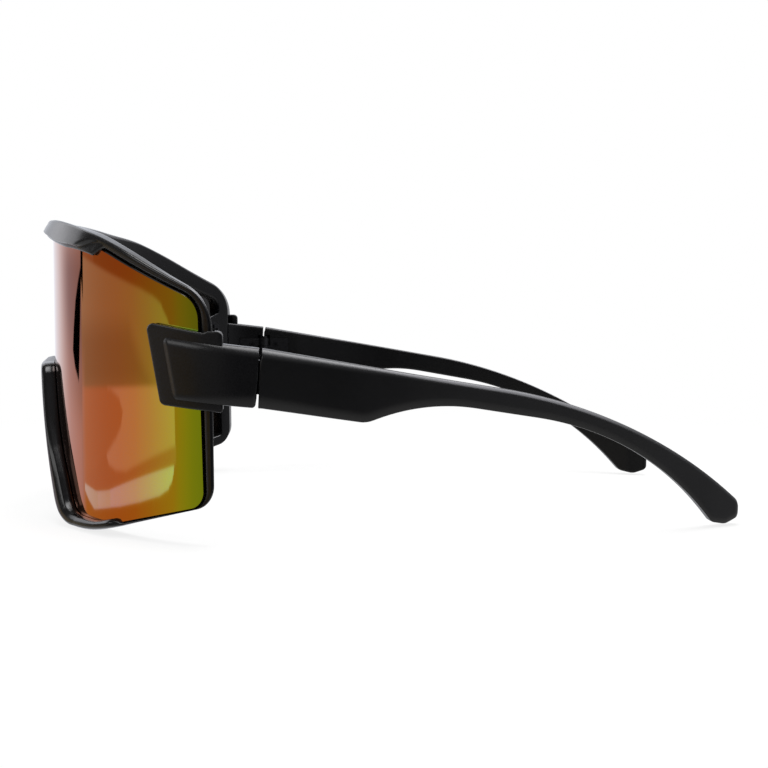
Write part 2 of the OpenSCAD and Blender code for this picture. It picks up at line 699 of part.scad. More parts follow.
module front_hinge_left() {
    color([0.5, 0.5, 0.52]) front_hinge();
}

module front_hinge_right() {
    color([0.5, 0.5, 0.52]) mirror([1, 0, 0]) front_hinge();
}

module front_leaf_screws() {
    color([0.6, 0.6, 0.62]) {
        leaf_screws(-1, 0);
        mirror([1, 0, 0]) leaf_screws(-1, 0);
    }
}

module hinge_screw_left() {
    color([0.6, 0.6, 0.62]) hinge_screw();
}

module hinge_screw_right() {
    color([0.6, 0.6, 0.62]) mirror([1, 0, 0]) hinge_screw();
}

module temple_hinge_left() {
    color([0.5, 0.5, 0.52]) temple_hinge();
}

module temple_hinge_right() {
    color([0.5, 0.5, 0.52]) mirror([1, 0, 0]) temple_hinge();
}

module temple_leaf_screws_left() {
    color([0.6, 0.6, 0.62]) leaf_screws(1, 0);
}

module temple_leaf_screws_right() {
    color([0.6, 0.6, 0.62]) mirror([1, 0, 0]) leaf_screws(1, 0);
}

// Temples

module temple() {
    difference() {
        swept([for (y = concat([temple_start], station_shares * temple_l)) temple_ring(y)], false);
        hinge_pocket(1);
        joint_notch(1, 0, 1, top_notch_w);
    }
}

module temple_left() {
    color([0.03, 0.03, 0.035]) temple();
}

module temple_right() {
    color([0.03, 0.03, 0.035]) mirror([1, 0, 0]) temple();
}

// Nosepiece

// Its wings follow the notch on the back of the frame; shares of the way round, of reach and spread
notch_mid = loop_n - notch_steps / 2;
wing_steps = notch_steps / 2 + arc_steps[0] + 5;
reach_shares = [[0, 0.45], [0.4, 0.6], [0.7, 1], [0.92, 0.95], [1, 0.6]];
pad_in_share = 0.5;
// How far each face of a wing has spread at half its reach
wing_bow_shares = [0.4, 0.3];
function pad_ring(k) =
    let (i = (notch_mid + k + loop_n) % loop_n, q = back_loop[i], m = inward(i), share = abs(k) / wing_steps,
        reach = wing_l * lookup(share, reach_shares), lean = wing_spread * lookup(share, reach_shares),
        front = back_r - seat_fit, a = -pad_in_share * pad_t, b = a + pad_t)
    [for (row = [[a, front], [b + pad_t, front], [b + pad_t, front - pad_t / 2],
        [b + wing_bow_shares[0] * lean, front - reach / 2], [b + lean, front - reach],
        [a + lean, front - reach], [a + wing_bow_shares[1] * lean, front - reach / 2]])
        let (at = q + m * row[0]) wrap(at[0], at[1], row[1])];

module nosepiece() {
    color([0.13, 0.13, 0.135])
        swept([for (k = [-wing_steps : wing_steps]) pad_ring(k)], false);
}

// The part stands on its lobes and temple tips, centred from front to back

front_y = axis_y - lens_r - nose_proud;
module placed() {
    translate([0, -(temple_l + front_y) / 2, base_h])
        children();
}

placed() frame();
placed() lens();
placed() nosepiece();
placed() endpiece_left();
placed() endpiece_right();
placed() endpiece_screws();
placed() front_hinge_left();
placed() front_hinge_right();
placed() front_leaf_screws();
placed() hinge_screw_left();
placed() hinge_screw_right();
placed() temple_hinge_left();
placed() temple_hinge_right();
placed() temple_leaf_screws_left();
placed() temple_leaf_screws_right();
placed() temple_left();
placed() temple_right();
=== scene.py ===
import json
import math
import bpy
import numpy as np
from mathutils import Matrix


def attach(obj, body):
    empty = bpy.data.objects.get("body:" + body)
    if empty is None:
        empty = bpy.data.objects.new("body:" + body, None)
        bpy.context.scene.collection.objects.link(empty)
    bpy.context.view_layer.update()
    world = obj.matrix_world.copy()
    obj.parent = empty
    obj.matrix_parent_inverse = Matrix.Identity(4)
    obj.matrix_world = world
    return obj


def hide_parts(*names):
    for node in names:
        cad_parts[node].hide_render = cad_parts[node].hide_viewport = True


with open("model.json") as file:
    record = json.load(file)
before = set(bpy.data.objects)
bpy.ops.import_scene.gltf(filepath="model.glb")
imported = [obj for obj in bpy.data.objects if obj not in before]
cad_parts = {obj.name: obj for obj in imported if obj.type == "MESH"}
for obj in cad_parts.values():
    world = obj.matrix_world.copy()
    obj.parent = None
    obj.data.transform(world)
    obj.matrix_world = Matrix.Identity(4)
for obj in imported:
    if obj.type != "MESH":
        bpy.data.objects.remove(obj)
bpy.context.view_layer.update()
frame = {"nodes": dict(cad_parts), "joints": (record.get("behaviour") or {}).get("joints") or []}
print("frame loaded")

# Everything is worked out in mm from the top of the hinge line, as a maker would draw it:
# x to the wearer's left, y to the back, z up. place() moves it into the frame, in metres.
hingeAt = frame["joints"][0]["pos_m"]
hingeMiddle = 6.8    # depth of the joint's own point below the top of the hinge line
placeShift = np.array([0.0, hingeAt[1] * 1000, hingeAt[2] * 1000 + hingeMiddle])


def place(points):
    return (np.asarray(points, float) + placeShift) / 1000


# Small helpers for lines and outlines

def unit(v):
    return v / np.linalg.norm(v, axis=-1, keepdims=True)


# From a at k = 0 straight to b at k = 1
def mix(a, b, k):
    return a + (b - a) * k


# From 0 to 1 with soft ends: 3 x squared less 2 x cubed
def ease(x):
    c = np.clip(x, 0, 1)
    return c * c * (3 - 2 * c)


# Straight lines between a table's points
def lookUp(x, table):
    table = np.asarray(table, float)
    return np.interp(x, table[:, 0], table[:, 1])


# Arc that rounds the corner p between a and b: its centre lies on the bisector, r/sin(half) from p
def cornerArc(a, p, b, r, steps):
    u, v = unit(a - p), unit(b - p)
    half = math.acos(float(np.clip(u @ v, -1, 1))) / 2
    centre = p + unit(u + v) * r / math.sin(half)
    first = p + u * r / math.tan(half) - centre
    turn = (math.pi - 2 * half) * np.sign(u[1] * v[0] - u[0] * v[1]) * np.linspace(0, 1, steps + 1)
    return np.stack([centre[0] + first[0] * np.cos(turn) - first[1] * np.sin(turn),
                     centre[1] + first[0] * np.sin(turn) + first[1] * np.cos(turn)], 1)


# Straight edges between the arcs, with the last point of each edge left to the next arc
def joinArcs(arcs, edges, closed):
    out = []
    count = len(arcs)
    for i, arc in enumerate(arcs):
        out.append(arc)
        if closed or i < count - 1:
            k = np.arange(1, edges[i])[:, None] / edges[i]
            out.append(mix(arc[-1], arcs[(i + 1) % count][0], k))
    return np.concatenate(out)


def roundedLoop(corners, radii, arcSteps, edgeSteps):
    c = np.asarray(corners, float)
    n = len(c)
    arcs = [cornerArc(c[i - 1], c[i], c[(i + 1) % n], radii[i], arcSteps[i]) for i in range(n)]
    return joinArcs(arcs, edgeSteps, True)


def roundedLine(corners, radii, arcSteps):
    c = np.asarray(corners, float)
    n = len(c)
    arcs = [c[i:i + 1] if i in (0, n - 1) else cornerArc(c[i - 1], c[i], c[i + 1], radii[i], arcSteps[i])
            for i in range(n)]
    return joinArcs(arcs, [1] * n, False)


# Corner cutting softens the edges of a section: each point gives way to two, a share t along its edges
def softened(rings, cuts):
    for t in cuts:
        ahead, behind = np.roll(rings, -1, axis=1), np.roll(rings, 1, axis=1)
        n, m = rings.shape[:2]
        rings = np.stack([mix(rings, behind, t), mix(rings, ahead, t)], 2).reshape(n, 2 * m, -1)
    return rings


# Faces of a grid of n rings of m points: quads between neighbours, with either way closed on itself
def gridFaces(n, m, ringsClosed, pointsClosed):
    i = np.arange(n if ringsClosed else n - 1)[:, None]
    j = np.arange(m if pointsClosed else m - 1)[None, :]
    a, b = i * m + j, i * m + (j + 1) % m
    c, d = (i + 1) % n * m + (j + 1) % m, (i + 1) % n * m + j
    return np.stack([a, b, c, d], -1).reshape(-1, 4)


# A sweep of closed sections; at each open end a fan round the section's middle closes it
def sweptSolid(rings, ringsClosed=False):
    n, m = rings.shape[:2]
    points = rings.reshape(-1, 3)
    faces = gridFaces(n, m, ringsClosed, True).tolist()
    if not ringsClosed:
        j = np.arange(m)
        k = (j + 1) % m
        first, last = n * m, n * m + 1
        points = np.concatenate([points, [rings[0].mean(0), rings[-1].mean(0)]])
        faces += np.stack([k, j, np.full(m, first)], 1).tolist()
        faces += np.stack([j + (n - 1) * m, k + (n - 1) * m, np.full(m, last)], 1).tolist()
    return points, faces


# Signed volume by the sum of corner tetrahedra: a solid whose faces point inwards is turned round
def outward(points, faces):
    tris = np.array([[f[0], f[i], f[i + 1]] for f in faces for i in range(1, len(f) - 1)])
    a, b, c = (points[tris[:, i]] for i in range(3))
    if np.einsum("ij,ij->i", a, np.cross(b, c)).sum() < 0:
        faces = [f[::-1] for f in faces]
    return points, faces


creaseAngle = 38    # edges sharper than this, in degrees, are drawn as edges


def makePiece(name, solids, material, sharpAngle=creaseAngle):
    points, faces = [], []
    for solidPoints, solidFaces in solids:
        solidPoints, solidFaces = outward(np.asarray(solidPoints), solidFaces)
        start = sum(len(p) for p in points)
        points.append(solidPoints)
        faces += [[i + start for i in f] for f in solidFaces]
    mesh = bpy.data.meshes.new(name)
    mesh.from_pydata(place(np.concatenate(points)).tolist(), [], faces)
    mesh.validate()
    mesh.shade_smooth()
    mesh.set_sharp_from_angle(angle=math.radians(sharpAngle))
    piece = bpy.data.objects.new(name, mesh)
    bpy.context.scene.collection.objects.link(piece)
    mesh.materials.append(material)
    return piece


# The right side is the left one with x turned over, and its faces too, so that they still look out
def mirrored(solids):
    return [(np.asarray(points) * [-1, 1, 1], [f[::-1] for f in faces]) for points, faces in solids]


# Materials. Colours are sRGB hex values; one function adds a node with its settings and links.

def hexColour(text):
    srgb = np.array([int(text[i:i + 2], 16) / 255 for i in (1, 3, 5)])
    linear = np.where(srgb <= 0.04045, srgb / 12.92, ((srgb + 0.055) / 1.055) ** 2.4)
    return (*linear.tolist(), 1.0)


# A setting is a ramp's stops, the value of an input, or a property of the node
def addNode(tree, kind, settings=None, links=None):
    node = tree.nodes.new(kind)
    for key, value in (settings or {}).items():
        if key == "stops":
            elements = node.color_ramp.elements
            while len(elements) < len(value):
                elements.new(0.5)
            for element, (at, text) in zip(elements, value):
                element.position = at
                element.color = hexColour(text)
        elif isinstance(key, int) or key in node.inputs:
            node.inputs[key].default_value = value
        else:
            setattr(node, key, value)
    for key, source in (links or {}).items():
        tree.links.new(source, node.inputs[key])
    return node


def newMaterial(name):
    material = bpy.data.materials.new(name)
    material.use_nodes = True
    tree = material.node_tree
    tree.nodes.clear()
    out = addNode(tree, "ShaderNodeOutputMaterial")
    return material, tree, out


# Moulded black plastics. Grain and bump are the spacing and depth in mm of the spark-eroded grain,
# really about 0.05 mm apart and drawn coarser so that it shows; the tone drifts over cloud mm. The
# IOR is below nylon's 1.53, because the grain takes away part of the gloss.
mouldedFinish = {
    "mouldedNylonGloss": {     # frame: from a polished tool, a soft sheen with clear highlights
        "colour": "#060607", "worn": "#0d0d0f", "rough": (0.15, 0.22), "grain": 1.2, "bump": 0.003,
        "cloud": 18, "ior": 1.31},
    "mouldedNylonSatin": {     # endpieces: fine grain, light only along the bevels
        "colour": "#050506", "worn": "#0c0c0e", "rough": (0.26, 0.34), "grain": 0.3, "bump": 0.009,
        "cloud": 18, "ior": 1.31},
    "mouldedNylonMatte": {     # temples: fine grain, nearly black with soft edges of light
        "colour": "#050506", "worn": "#0b0b0c", "rough": (0.28, 0.37), "grain": 0.34, "bump": 0.009,
        "cloud": 18, "ior": 1.35},
    "softRubber": {            # nosepiece: cast thermoplastic rubber, dull and a little greyer
        "colour": "#121213", "worn": "#202022", "rough": (0.7, 0.85), "grain": 0.5, "bump": 0.02,
        "cloud": 18, "ior": 1.45},
}


def mouldedMaterial(name):
    finish = mouldedFinish[name]
    material, tree, out = newMaterial(name)
    where = addNode(tree, "ShaderNodeTexCoord").outputs["Object"]
    grain = addNode(tree, "ShaderNodeTexNoise", {"Scale": 1000 / finish["grain"], "Detail": 3.0, "Roughness": 0.6},
                    {"Vector": where})
    cloud = addNode(tree, "ShaderNodeTexNoise", {"Scale": 1000 / finish["cloud"], "Detail": 2.0},
                    {"Vector": where})
    colour = addNode(tree, "ShaderNodeValToRGB", {"stops": [(0.35, finish["colour"]), (0.75, finish["worn"])]},
                     {"Fac": cloud.outputs["Fac"]})
    low, high = finish["rough"]
    rough = addNode(tree, "ShaderNodeMapRange", {"From Min": 0.3, "From Max": 0.7, "To Min": low, "To Max": high},
                    {"Value": grain.outputs["Fac"]})
    bump = addNode(tree, "ShaderNodeBump", {"Strength": 0.5, "Distance": finish["bump"] / 1000},
                   {"Height": grain.outputs["Fac"]})
    shader = addNode(tree, "ShaderNodeBsdfPrincipled", {"IOR": finish["ior"]},
                     {"Base Color": colour.outputs["Color"], "Roughness": rough.outputs["Result"],
                      "Normal": bump.outputs["Normal"]})
    tree.links.new(shader.outputs["BSDF"], out.inputs["Surface"])
    return material


glossNylon = mouldedMaterial("mouldedNylonGloss")
satinNylon = mouldedMaterial("mouldedNylonSatin")
matteNylon = mouldedMaterial("mouldedNylonMatte")
softRubber = mouldedMaterial("softRubber")

# Polycarbonate with a vacuum mirror coating under a clear hard coat: orange over most of the lens,
# then gold, olive and green where the layers thicken towards the ends. Stops are shares of the half
# length, and uneven layers sway them by up to half of sway over about 22 mm.
coating = {"stops": [(0.57, "#aa550d"), (0.64, "#aa560a"), (0.7, "#ac590a"), (0.763, "#ac630a"),
                     (0.82, "#a8760d"), (0.886, "#a48d10"), (0.905, "#a29310"), (0.925, "#979f10"),
                     (0.95, "#8aa210"), (0.97, "#7e9f12"), (1.0, "#739b16")],
           "sway": 0.024, "rough": 0.03, "coat": 0.5, "coatRough": 0.02}


def lensMaterial():
    material, tree, out = newMaterial("mirrorCoatedPolycarbonate")
    tint = addNode(tree, "ShaderNodeAttribute", {"attribute_name": "coatShare", "attribute_type": "GEOMETRY"})
    where = addNode(tree, "ShaderNodeTexCoord").outputs["Object"]
    drift = addNode(tree, "ShaderNodeTexNoise", {"Scale": 45.0, "Detail": 1.0}, {"Vector": where})
    sway = addNode(tree, "ShaderNodeMapRange", {"To Min": -coating["sway"] / 2, "To Max": coating["sway"] / 2},
                   {"Value": drift.outputs["Fac"]})
    share = addNode(tree, "ShaderNodeMath", {"operation": "ADD"},
                    {0: tint.outputs["Fac"], 1: sway.outputs["Result"]})
    colour = addNode(tree, "ShaderNodeValToRGB", {"stops": coating["stops"]}, {"Fac": share.outputs["Value"]})
    shader = addNode(tree, "ShaderNodeBsdfPrincipled",
                     {"Metallic": 1.0, "Roughness": coating["rough"], "Coat Weight": coating["coat"],
                      "Coat Roughness": coating["coatRough"]}, {"Base Color": colour.outputs["Color"]})
    tree.links.new(shader.outputs["BSDF"], out.inputs["Surface"])
    return material


# Inside and edges of the lens: polished smoked polycarbonate, nearly black with clear reflections.
# Its dye drifts over about 17 mm.
smoked = {"stops": [(0.3, "#0e0b09"), (0.8, "#15100d")], "rough": 0.06, "ior": 1.58}


def smokedMaterial():
    material, tree, out = newMaterial("smokedPolycarbonate")
    where = addNode(tree, "ShaderNodeTexCoord").outputs["Object"]
    drift = addNode(tree, "ShaderNodeTexNoise", {"Scale": 60.0, "Detail": 2.0}, {"Vector": where})
    colour = addNode(tree, "ShaderNodeValToRGB", {"stops": smoked["stops"]}, {"Fac": drift.outputs["Fac"]})
    shader = addNode(tree, "ShaderNodeBsdfPrincipled", {"Roughness": smoked["rough"], "IOR": smoked["ior"]},
                     {"Base Color": colour.outputs["Color"]})
    tree.links.new(shader.outputs["BSDF"], out.inputs["Surface"])
    return material


mirrorCoat = lensMaterial()
smokedInside = smokedMaterial()

# Blackened steel: stamped leaves keep rolling lines along y, turned screws a finer even grain.
# Lines are counted per metre, so 4000 is a spacing of 0.25 mm.
steelFinish = {"blackenedStampedSteel": {"lines": (4000, 600, 4000), "rough": (0.3, 0.45)},
               "blackenedTurnedSteel": {"lines": (3000, 3000, 3000), "rough": (0.25, 0.38)}}
steelStops = [(0.3, "#0d0d0f"), (0.7, "#1c1c1f")]


def steelMaterial(name):
    finish = steelFinish[name]
    material, tree, out = newMaterial(name)
    where = addNode(tree, "ShaderNodeTexCoord").outputs["Object"]
    laid = addNode(tree, "ShaderNodeMapping", {"Scale": finish["lines"]}, {"Vector": where})
    lines = addNode(tree, "ShaderNodeTexNoise", {"Scale": 1.0, "Detail": 3.0}, {"Vector": laid.outputs["Vector"]})
    colour = addNode(tree, "ShaderNodeValToRGB", {"stops": steelStops}, {"Fac": lines.outputs["Fac"]})
    low, high = finish["rough"]
    rough = addNode(tree, "ShaderNodeMapRange", {"To Min": low, "To Max": high}, {"Value": lines.outputs["Fac"]})
    shader = addNode(tree, "ShaderNodeBsdfPrincipled", {"Metallic": 0.6},
                     {"Base Color": colour.outputs["Color"], "Roughness": rough.outputs["Result"]})
    tree.links.new(shader.outputs["BSDF"], out.inputs["Surface"])
    return material


stampedSteel = steelMaterial("blackenedStampedSteel")
turnedSteel = steelMaterial("blackenedTurnedSteel")
print("materials made")

# Lens and frame outlines, in distance along the lens face and height

lens = {"radius": 74.0, "thick": 2.0, "wrapDeg": 62.95, "up": 27.0, "down": 42.0, "setback": 10.1,
        "cornerRadii": [4.5, 10, 55, 4, 6, 62, 150], "polish": 0.24, "rows": 24}
rim = {"width": 3.0, "tuck": 3.0, "depth": 2.8, "ledge": 3.0, "browProud": 2.4, "noseProud": 3.8,
       "rimProud": 0.25, "browCover": 2.2, "noseCover": 3.0, "browEnd": 52.5, "noseEnd": 59.0,
       "browRadius": 115.0, "browFall": 1.3}
seatFit = 0.12  # air behind the lens and the nosepiece
rimFit = 0.1    # air between the rim and the endpiece plates
fineness = 4    # steps for each step of the plain solid

lensHalf = lens["radius"] * math.radians(lens["wrapDeg"])
# Corners from the nose notch round the lobe, heel and brow to the crown, as shares of the half
# length and height, and where the frame's corners lie beyond them, as shares of the rim's width
cornerShares = np.array([[0.168, -0.164], [0.418, -1], [0.618, -1], [1, -0.829], [0.985, 0.381], [0.563, 0.878],
                         [0, 1]])
rimShift = np.array([[-0.6, -1.13], [-1.13, -0.47], [-0.7, -0.47], [0.9, 0.17], [1.2, 0.15], [-0.96, 1.62],
                     [0, 0.91]])
rimRound = [0, 1.1, 0.5, 0.5, 1.5, 0, 0.5]
tuckShares = np.array([0, 0, 0, 1, 1, 0, 0])
lensCorners = cornerShares * np.where(cornerShares[:, 1:] < 0, [lensHalf, lens["down"]], [lensHalf, lens["up"]])
frameCorners = lensCorners + rimShift * rim["width"]
backCorners = frameCorners - np.stack([tuckShares * rim["tuck"], tuckShares * 0], 1)
frameRadii = [r + share * rim["width"] for r, share in zip(lens["cornerRadii"], rimRound)]
frameRadii[5] = rim["browRadius"]
arcSteps = [fineness * k for k in (6, 7, 4, 6, 6, 20, 4)]
edgeSteps = [fineness * k for k in (6, 3, 12, 10, 4, 5)]
notchSteps = fineness * 8


# The corners of the left half and, in the reverse order, their mirror images, joined over the notch
def fullLoop(corners, radii):
    both = np.concatenate([corners, corners[5::-1] * [-1, 1]])
    return roundedLoop(both, list(radii) + list(radii)[5::-1], arcSteps + arcSteps[5::-1],
                       edgeSteps + edgeSteps[::-1] + [notchSteps])


lensLoop = fullLoop(lensCorners, lens["cornerRadii"])


# Along the brow each point of the frame's edge lies straight above that of the lens, and its back
# edge falls; both fade out to the side
def fading(fullTo, goneAt):
    share = ease((goneAt - np.abs(lensLoop[:, 0]) / lensHalf) / (goneAt - fullTo))
    return np.where(lensLoop[:, 1] < 0, 0, share)[:, None]


def above(line, fall):
    top = line[(line[:, 0] > -1) & (line[:, 1] > 0)]
    top = top[np.argsort(top[:, 0])]
    over = np.stack([lensLoop[:, 0], np.interp(np.abs(lensLoop[:, 0]), top[:, 0], top[:, 1])], 1)
    return mix(line, over, fading(0.79, 0.94)) - fading(0.4, 0.6) * [0, fall]


frameLoop = above(fullLoop(frameCorners, frameRadii), 0)
backLoop = above(fullLoop(backCorners, frameRadii), rim["browFall"])
tangent = unit(np.roll(lensLoop, -1, axis=0) - np.roll(lensLoop, 1, axis=0))
inward = np.stack([-tangent[:, 1], tangent[:, 0]], 1)

backRadius = lens["radius"] - lens["thick"] - rim["depth"]
seatRadius = lens["radius"] - lens["thick"] - seatFit
axisY = min((lens["radius"] + rim["rimProud"]) * math.cos(frameCorners[3][0] / lens["radius"]),
            backRadius * math.cos(backCorners[3][0] / lens["radius"])) - lens["setback"]


# A point s along the lens face becomes an angle about the lens axis: x = r sin(s/R) and
# y = axis - r cos(s/R)
def wrapRound(s, z, r):
    angle = s / lens["radius"]
    return np.stack(np.broadcast_arrays(r * np.sin(angle), axisY - r * np.cos(angle), z), -1)


print("outlines worked out")

# Frame: one section carried round the whole outline. Its lap over the lens and its rise in front
# follow tables, and brow, bare rim and nose rim blend into each other. Each front point is a share
# of the lap, a share of the way to the frame's edge, and a share of the rise.
rimFront = np.array([[0, 0.2, -1.1], [0, 0.25, -0.6], [0, 0.3, 0], [0, 0.4, 0.7],
                     [0, 0.55, 0.95], [0, 0.78, 1], [0, 0.9, 0.2], [0, 1, -1.4]])
browFront = np.array([[0, 0.2, 0], [1, 0, 0], [1, 0, 0.35], [0.7, 0, 0.58],
                      [0.35, 0, 0.62], [0, 0.12, 1], [0, 0.93, 0.36], [0, 1, 0.1]])
lowFront = np.array([[0, 0.2, 0], [1, 0, 0], [1, 0, 0.35], [0.75, 0, 0.5],
                     [0.58, 0, 0.55], [0.45, 0, 1], [0, 0.93, 0.36], [0, 1, 0.1]])
scoopFront = np.array([[0, 0.2, 0], [1, 0, 0], [1, 0, 0.3], [0.75, 0, 0.5],
                       [0.3, 0, 0.25], [0, 0.6, 0.8], [0, 0.93, 0.5], [0, 1, 0.1]])
noseFront = np.array([[0, 0.2, 0], [1, 0, 0], [1, 0, 0.34], [0.85, 0, 0.7],
                      [0.4, 0, 0.95], [0, 0.2, 1], [0, 0.65, 0.87], [0, 1, 0.5]])
browCoverTable = [[0, 0.34], [0.15, 0.34], [0.3, 0.68], [0.42, 1], [0.5, 1], [0.6, 0.95], [0.64, 0.6]]
noseCoverTable = [[0, 0.6], [0.1, 0.3], [0.2, 0.15], [0.26, 0.13], [0.3, 0.3], [0.33, 0.55],
                  [0.36, 0.78], [0.39, 0.85], [0.43, 0.66], [0.5, 0.45], [0.6, 0.35], [0.73, 0.5]]
noseRiseTable = [[0, 0.92], [0.34, 0.92], [0.42, 0.9], [0.5, 0.7], [0.73, 0.55]]
lipFadeShare = 0.075     # the lip ends over this share of the brow's or nose rim's length
faceFadeShare = 0.2      # and the brow's face over this one

plate = {"thick": 1.5, "front": 25.2, "rear": 8.0, "up": 5.6, "down": 13.9, "corner": 1.5,
         "foot": (3.3, 1.3), "tabUp": 0.66, "tabLow": 0.6, "tabStep": (3.5, 4.2), "tabRound": 0.875,
         "blockFront": 0.3, "blockDown": 13.75}
arm = {"proud": 0.7, "front": 20.5, "height": 13.0, "thick": 6.0, "cheek": 26.0, "cheekDeg": 2.4, "lean": 2.4,
       "topShare": 0.185, "lowShare": 0.87, "notch": 2.2, "notchLong": 0.3, "frontBevel": (2.4, 1.5)}
boss = {"radius": 1.5, "along": 0.57, "down": (0.03, 0.68)}
plateInner = lens["radius"] + rim["rimProud"] + rimFit
plateOuter = plateInner + plate["thick"]
armRadius = plateOuter + arm["proud"]
bossS = lens["radius"] * math.acos((axisY + mix(plate["rear"], plate["front"], boss["along"])) / lens["radius"])
bossZ = [-share * arm["height"] for share in boss["down"]]


# Every point is the lens outline, moved inwards by its lap and on towards the frame's outline by its
# share, and then wrapped at its own radius. The ledge widens round the endpieces' bosses. The brow's
# face goes over to the low form between 0.25 and 0.65 of its length, and to the scoop from 0.8 on.
def frameSections():
    p = lensLoop
    s = np.abs(p[:, 0])
    share = s / lensHalf
    upper = p[:, 1] > 0
    end = np.where(upper, rim["browEnd"], rim["noseEnd"])
    lip = ease((end - s) / (lipFadeShare * end))
    face = np.where(upper, ease((end - s) / (faceFadeShare * end)), lip)
    cover = np.where(upper, rim["browCover"] * lookUp(share, browCoverTable),
                     rim["noseCover"] * lookUp(share, noseCoverTable))
    proud = np.where(upper, rim["browProud"], rim["noseProud"] * lookUp(share, noseRiseTable))
    low = ease((s / rim["browEnd"] - 0.25) / 0.4)[:, None, None]
    scoop = ease((s / rim["browEnd"] - 0.8) / 0.17)[:, None, None]
    r = boss["radius"]
    wide = (lensHalf - bossS - rim["ledge"] + 2.4 * r) * ease((p[:, 1] - bossZ[1] + 2 * r) / r + 1)
    ledge = rim["ledge"] + np.where(s < bossS, 0, wide * ease((bossZ[0] + 2 * r - p[:, 1]) / r + 1))
    k = np.where(np.arange(8)[None, :] < 4, lip[:, None], face[:, None])[..., None]
    a = np.broadcast_to(rimFront, (len(p), 8, 3)).copy()
    b = np.where(upper[:, None, None], mix(mix(browFront, lowFront, low), scoopFront, scoop), noseFront)
    fit = np.where(np.arange(8) < 2, seatFit, 0.0)
    rise = mix(a[..., 2:] * rim["rimProud"], b[..., 2:] * proud[:, None, None] + fit[None, :, None], k)
    front = np.concatenate([mix(0, b[..., :1] * cover[:, None, None], k), mix(a[..., 1:2], b[..., 1:2], k),
                            lens["radius"] + rise], -1)
    one = np.ones(len(p))
    none = 0 * one
    before = np.stack([np.stack([ledge, none, backRadius * one], 1), np.stack([ledge, none, seatRadius * one], 1),
                       np.stack([none, 0.2 * one, seatRadius * one], 1)], 1)
    after = np.stack([np.stack([none, one, mix(backRadius, seatRadius, 0.6) * one], 1),
                      np.stack([none, 0.7 * one, backRadius * one], 1)], 1)
    rows = np.concatenate([before, front, after], 1)
    toBack = np.clip((lens["radius"] - rows[..., 2]) / (lens["radius"] - backRadius), 0, 1)[..., None]
    q = mix(frameLoop[:, None], backLoop[:, None], toBack)
    at = p[:, None] + inward[:, None] * rows[..., :1] + (q - p[:, None]) * rows[..., 1:2]
    return wrapRound(at[..., 0], at[..., 1], rows[..., 2])


frameRim = makePiece("frameRim", [sweptSolid(softened(frameSections(), [0.09, 0.25]), True)], glossNylon)
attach(frameRim, "front")
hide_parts("frame")
print("frame made")


# Lens: columns between the lower and upper outline, on the outer and on the inner cylinder, joined
# round the edge, with a small polished bevel along the top and bottom. Rows lie at even shares
# between the bevels. The coating follows the share of the half length.
def lensGrid():
    s = lensLoop[:, 0]
    rear = int(np.argmax(s))
    farRear = int(np.argmin(s))
    upper = lensLoop[rear:farRear + 1][::-1]
    lower = np.concatenate([lensLoop[farRear:], lensLoop[:rear + 1]])
    reach = float(s.max()) - 0.004
    columns = np.unique(np.round(np.clip(np.concatenate([s, -s]), -reach, reach), 3))
    top = np.interp(columns, upper[:, 0], upper[:, 1])
    bottom = np.interp(columns, lower[:, 0], lower[:, 1])
    v = np.linspace(0, 1, lens["rows"])[None, :]
    tall = mix(bottom[:, None] + lens["polish"], top[:, None] - lens["polish"], v)
    z = np.concatenate([bottom[:, None], tall, top[:, None]], 1)
    return columns[:, None] + 0 * z, z


def makeLens():
    s, z = lensGrid()
    n, m = s.shape
    edgeRow = (np.arange(m) == 0) | (np.arange(m) == m - 1)
    front = wrapRound(s, z, lens["radius"] - lens["polish"] * edgeRow).reshape(-1, 3)
    back = wrapRound(s, z, lens["radius"] - lens["thick"]).reshape(-1, 3)
    frontFaces = gridFaces(n, m, False, False)
    backFaces = frontFaces[:, ::-1] + n * m
    edge = np.concatenate([np.arange(n) * m, (n - 1) * m + np.arange(1, m), np.arange(n - 2, -1, -1) * m + m - 1,
                           np.arange(m - 2, 0, -1)])
    ahead = np.roll(edge, -1)
    edgeFaces = np.stack([edge, edge + n * m, ahead + n * m, ahead], 1)
    points = np.concatenate([front, back])
    faces = np.concatenate([frontFaces, backFaces, edgeFaces]).tolist()
    piece = makePiece("lensShield", [(points, faces)], mirrorCoat, 30)
    piece.data.materials.append(smokedInside)
    bevel = np.tile(edgeRow[:-1] | edgeRow[1:], n - 1)
    slots = np.concatenate([bevel, np.ones(len(backFaces) + len(edgeFaces))]).astype(int)
    piece.data.polygons.foreach_set("material_index", slots)
    share = np.clip(np.abs(s.ravel()) / lensHalf, 0, 1)
    attribute = piece.data.attributes.new("coatShare", "FLOAT", "POINT")
    attribute.data.foreach_set("value", np.tile(share, 2).astype(np.float32))
    return piece


lensShield = makeLens()
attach(lensShield, "front")
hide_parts("lens")
print("lens made")

# Endpieces: a plate bent to the lens, and an arm that runs from it back to the joint. The cheek's arc
# takes over from the lens's a few degrees before the lens ends.

cheekAngle = math.radians(lens["wrapDeg"] - arm["cheekDeg"])
cheekX = (armRadius - arm["cheek"]) * math.sin(cheekAngle)
cheekY = axisY - (armRadius - arm["cheek"]) * math.cos(cheekAngle)
halfWidth = cheekX + arm["cheek"]
armInside = halfWidth - arm["thick"]
temple = {"length": 113.6, "bowRadius": 222.0, "bowStart": 12.0, "thin": 3.8, "tipThick": 4.4,
          "bevel": 1.5, "underBevel": 2.6, "jointLean": 0.6, "jointGap": 0.3,
          "topNotch": 1.4, "notchLong": 0.4, "tipRound": 1.1}
edgeCuts = [0.1, 0.25]    # corner cutting of arm and temple sections
faceEase = 0.12           # rounding of their faces at the joint


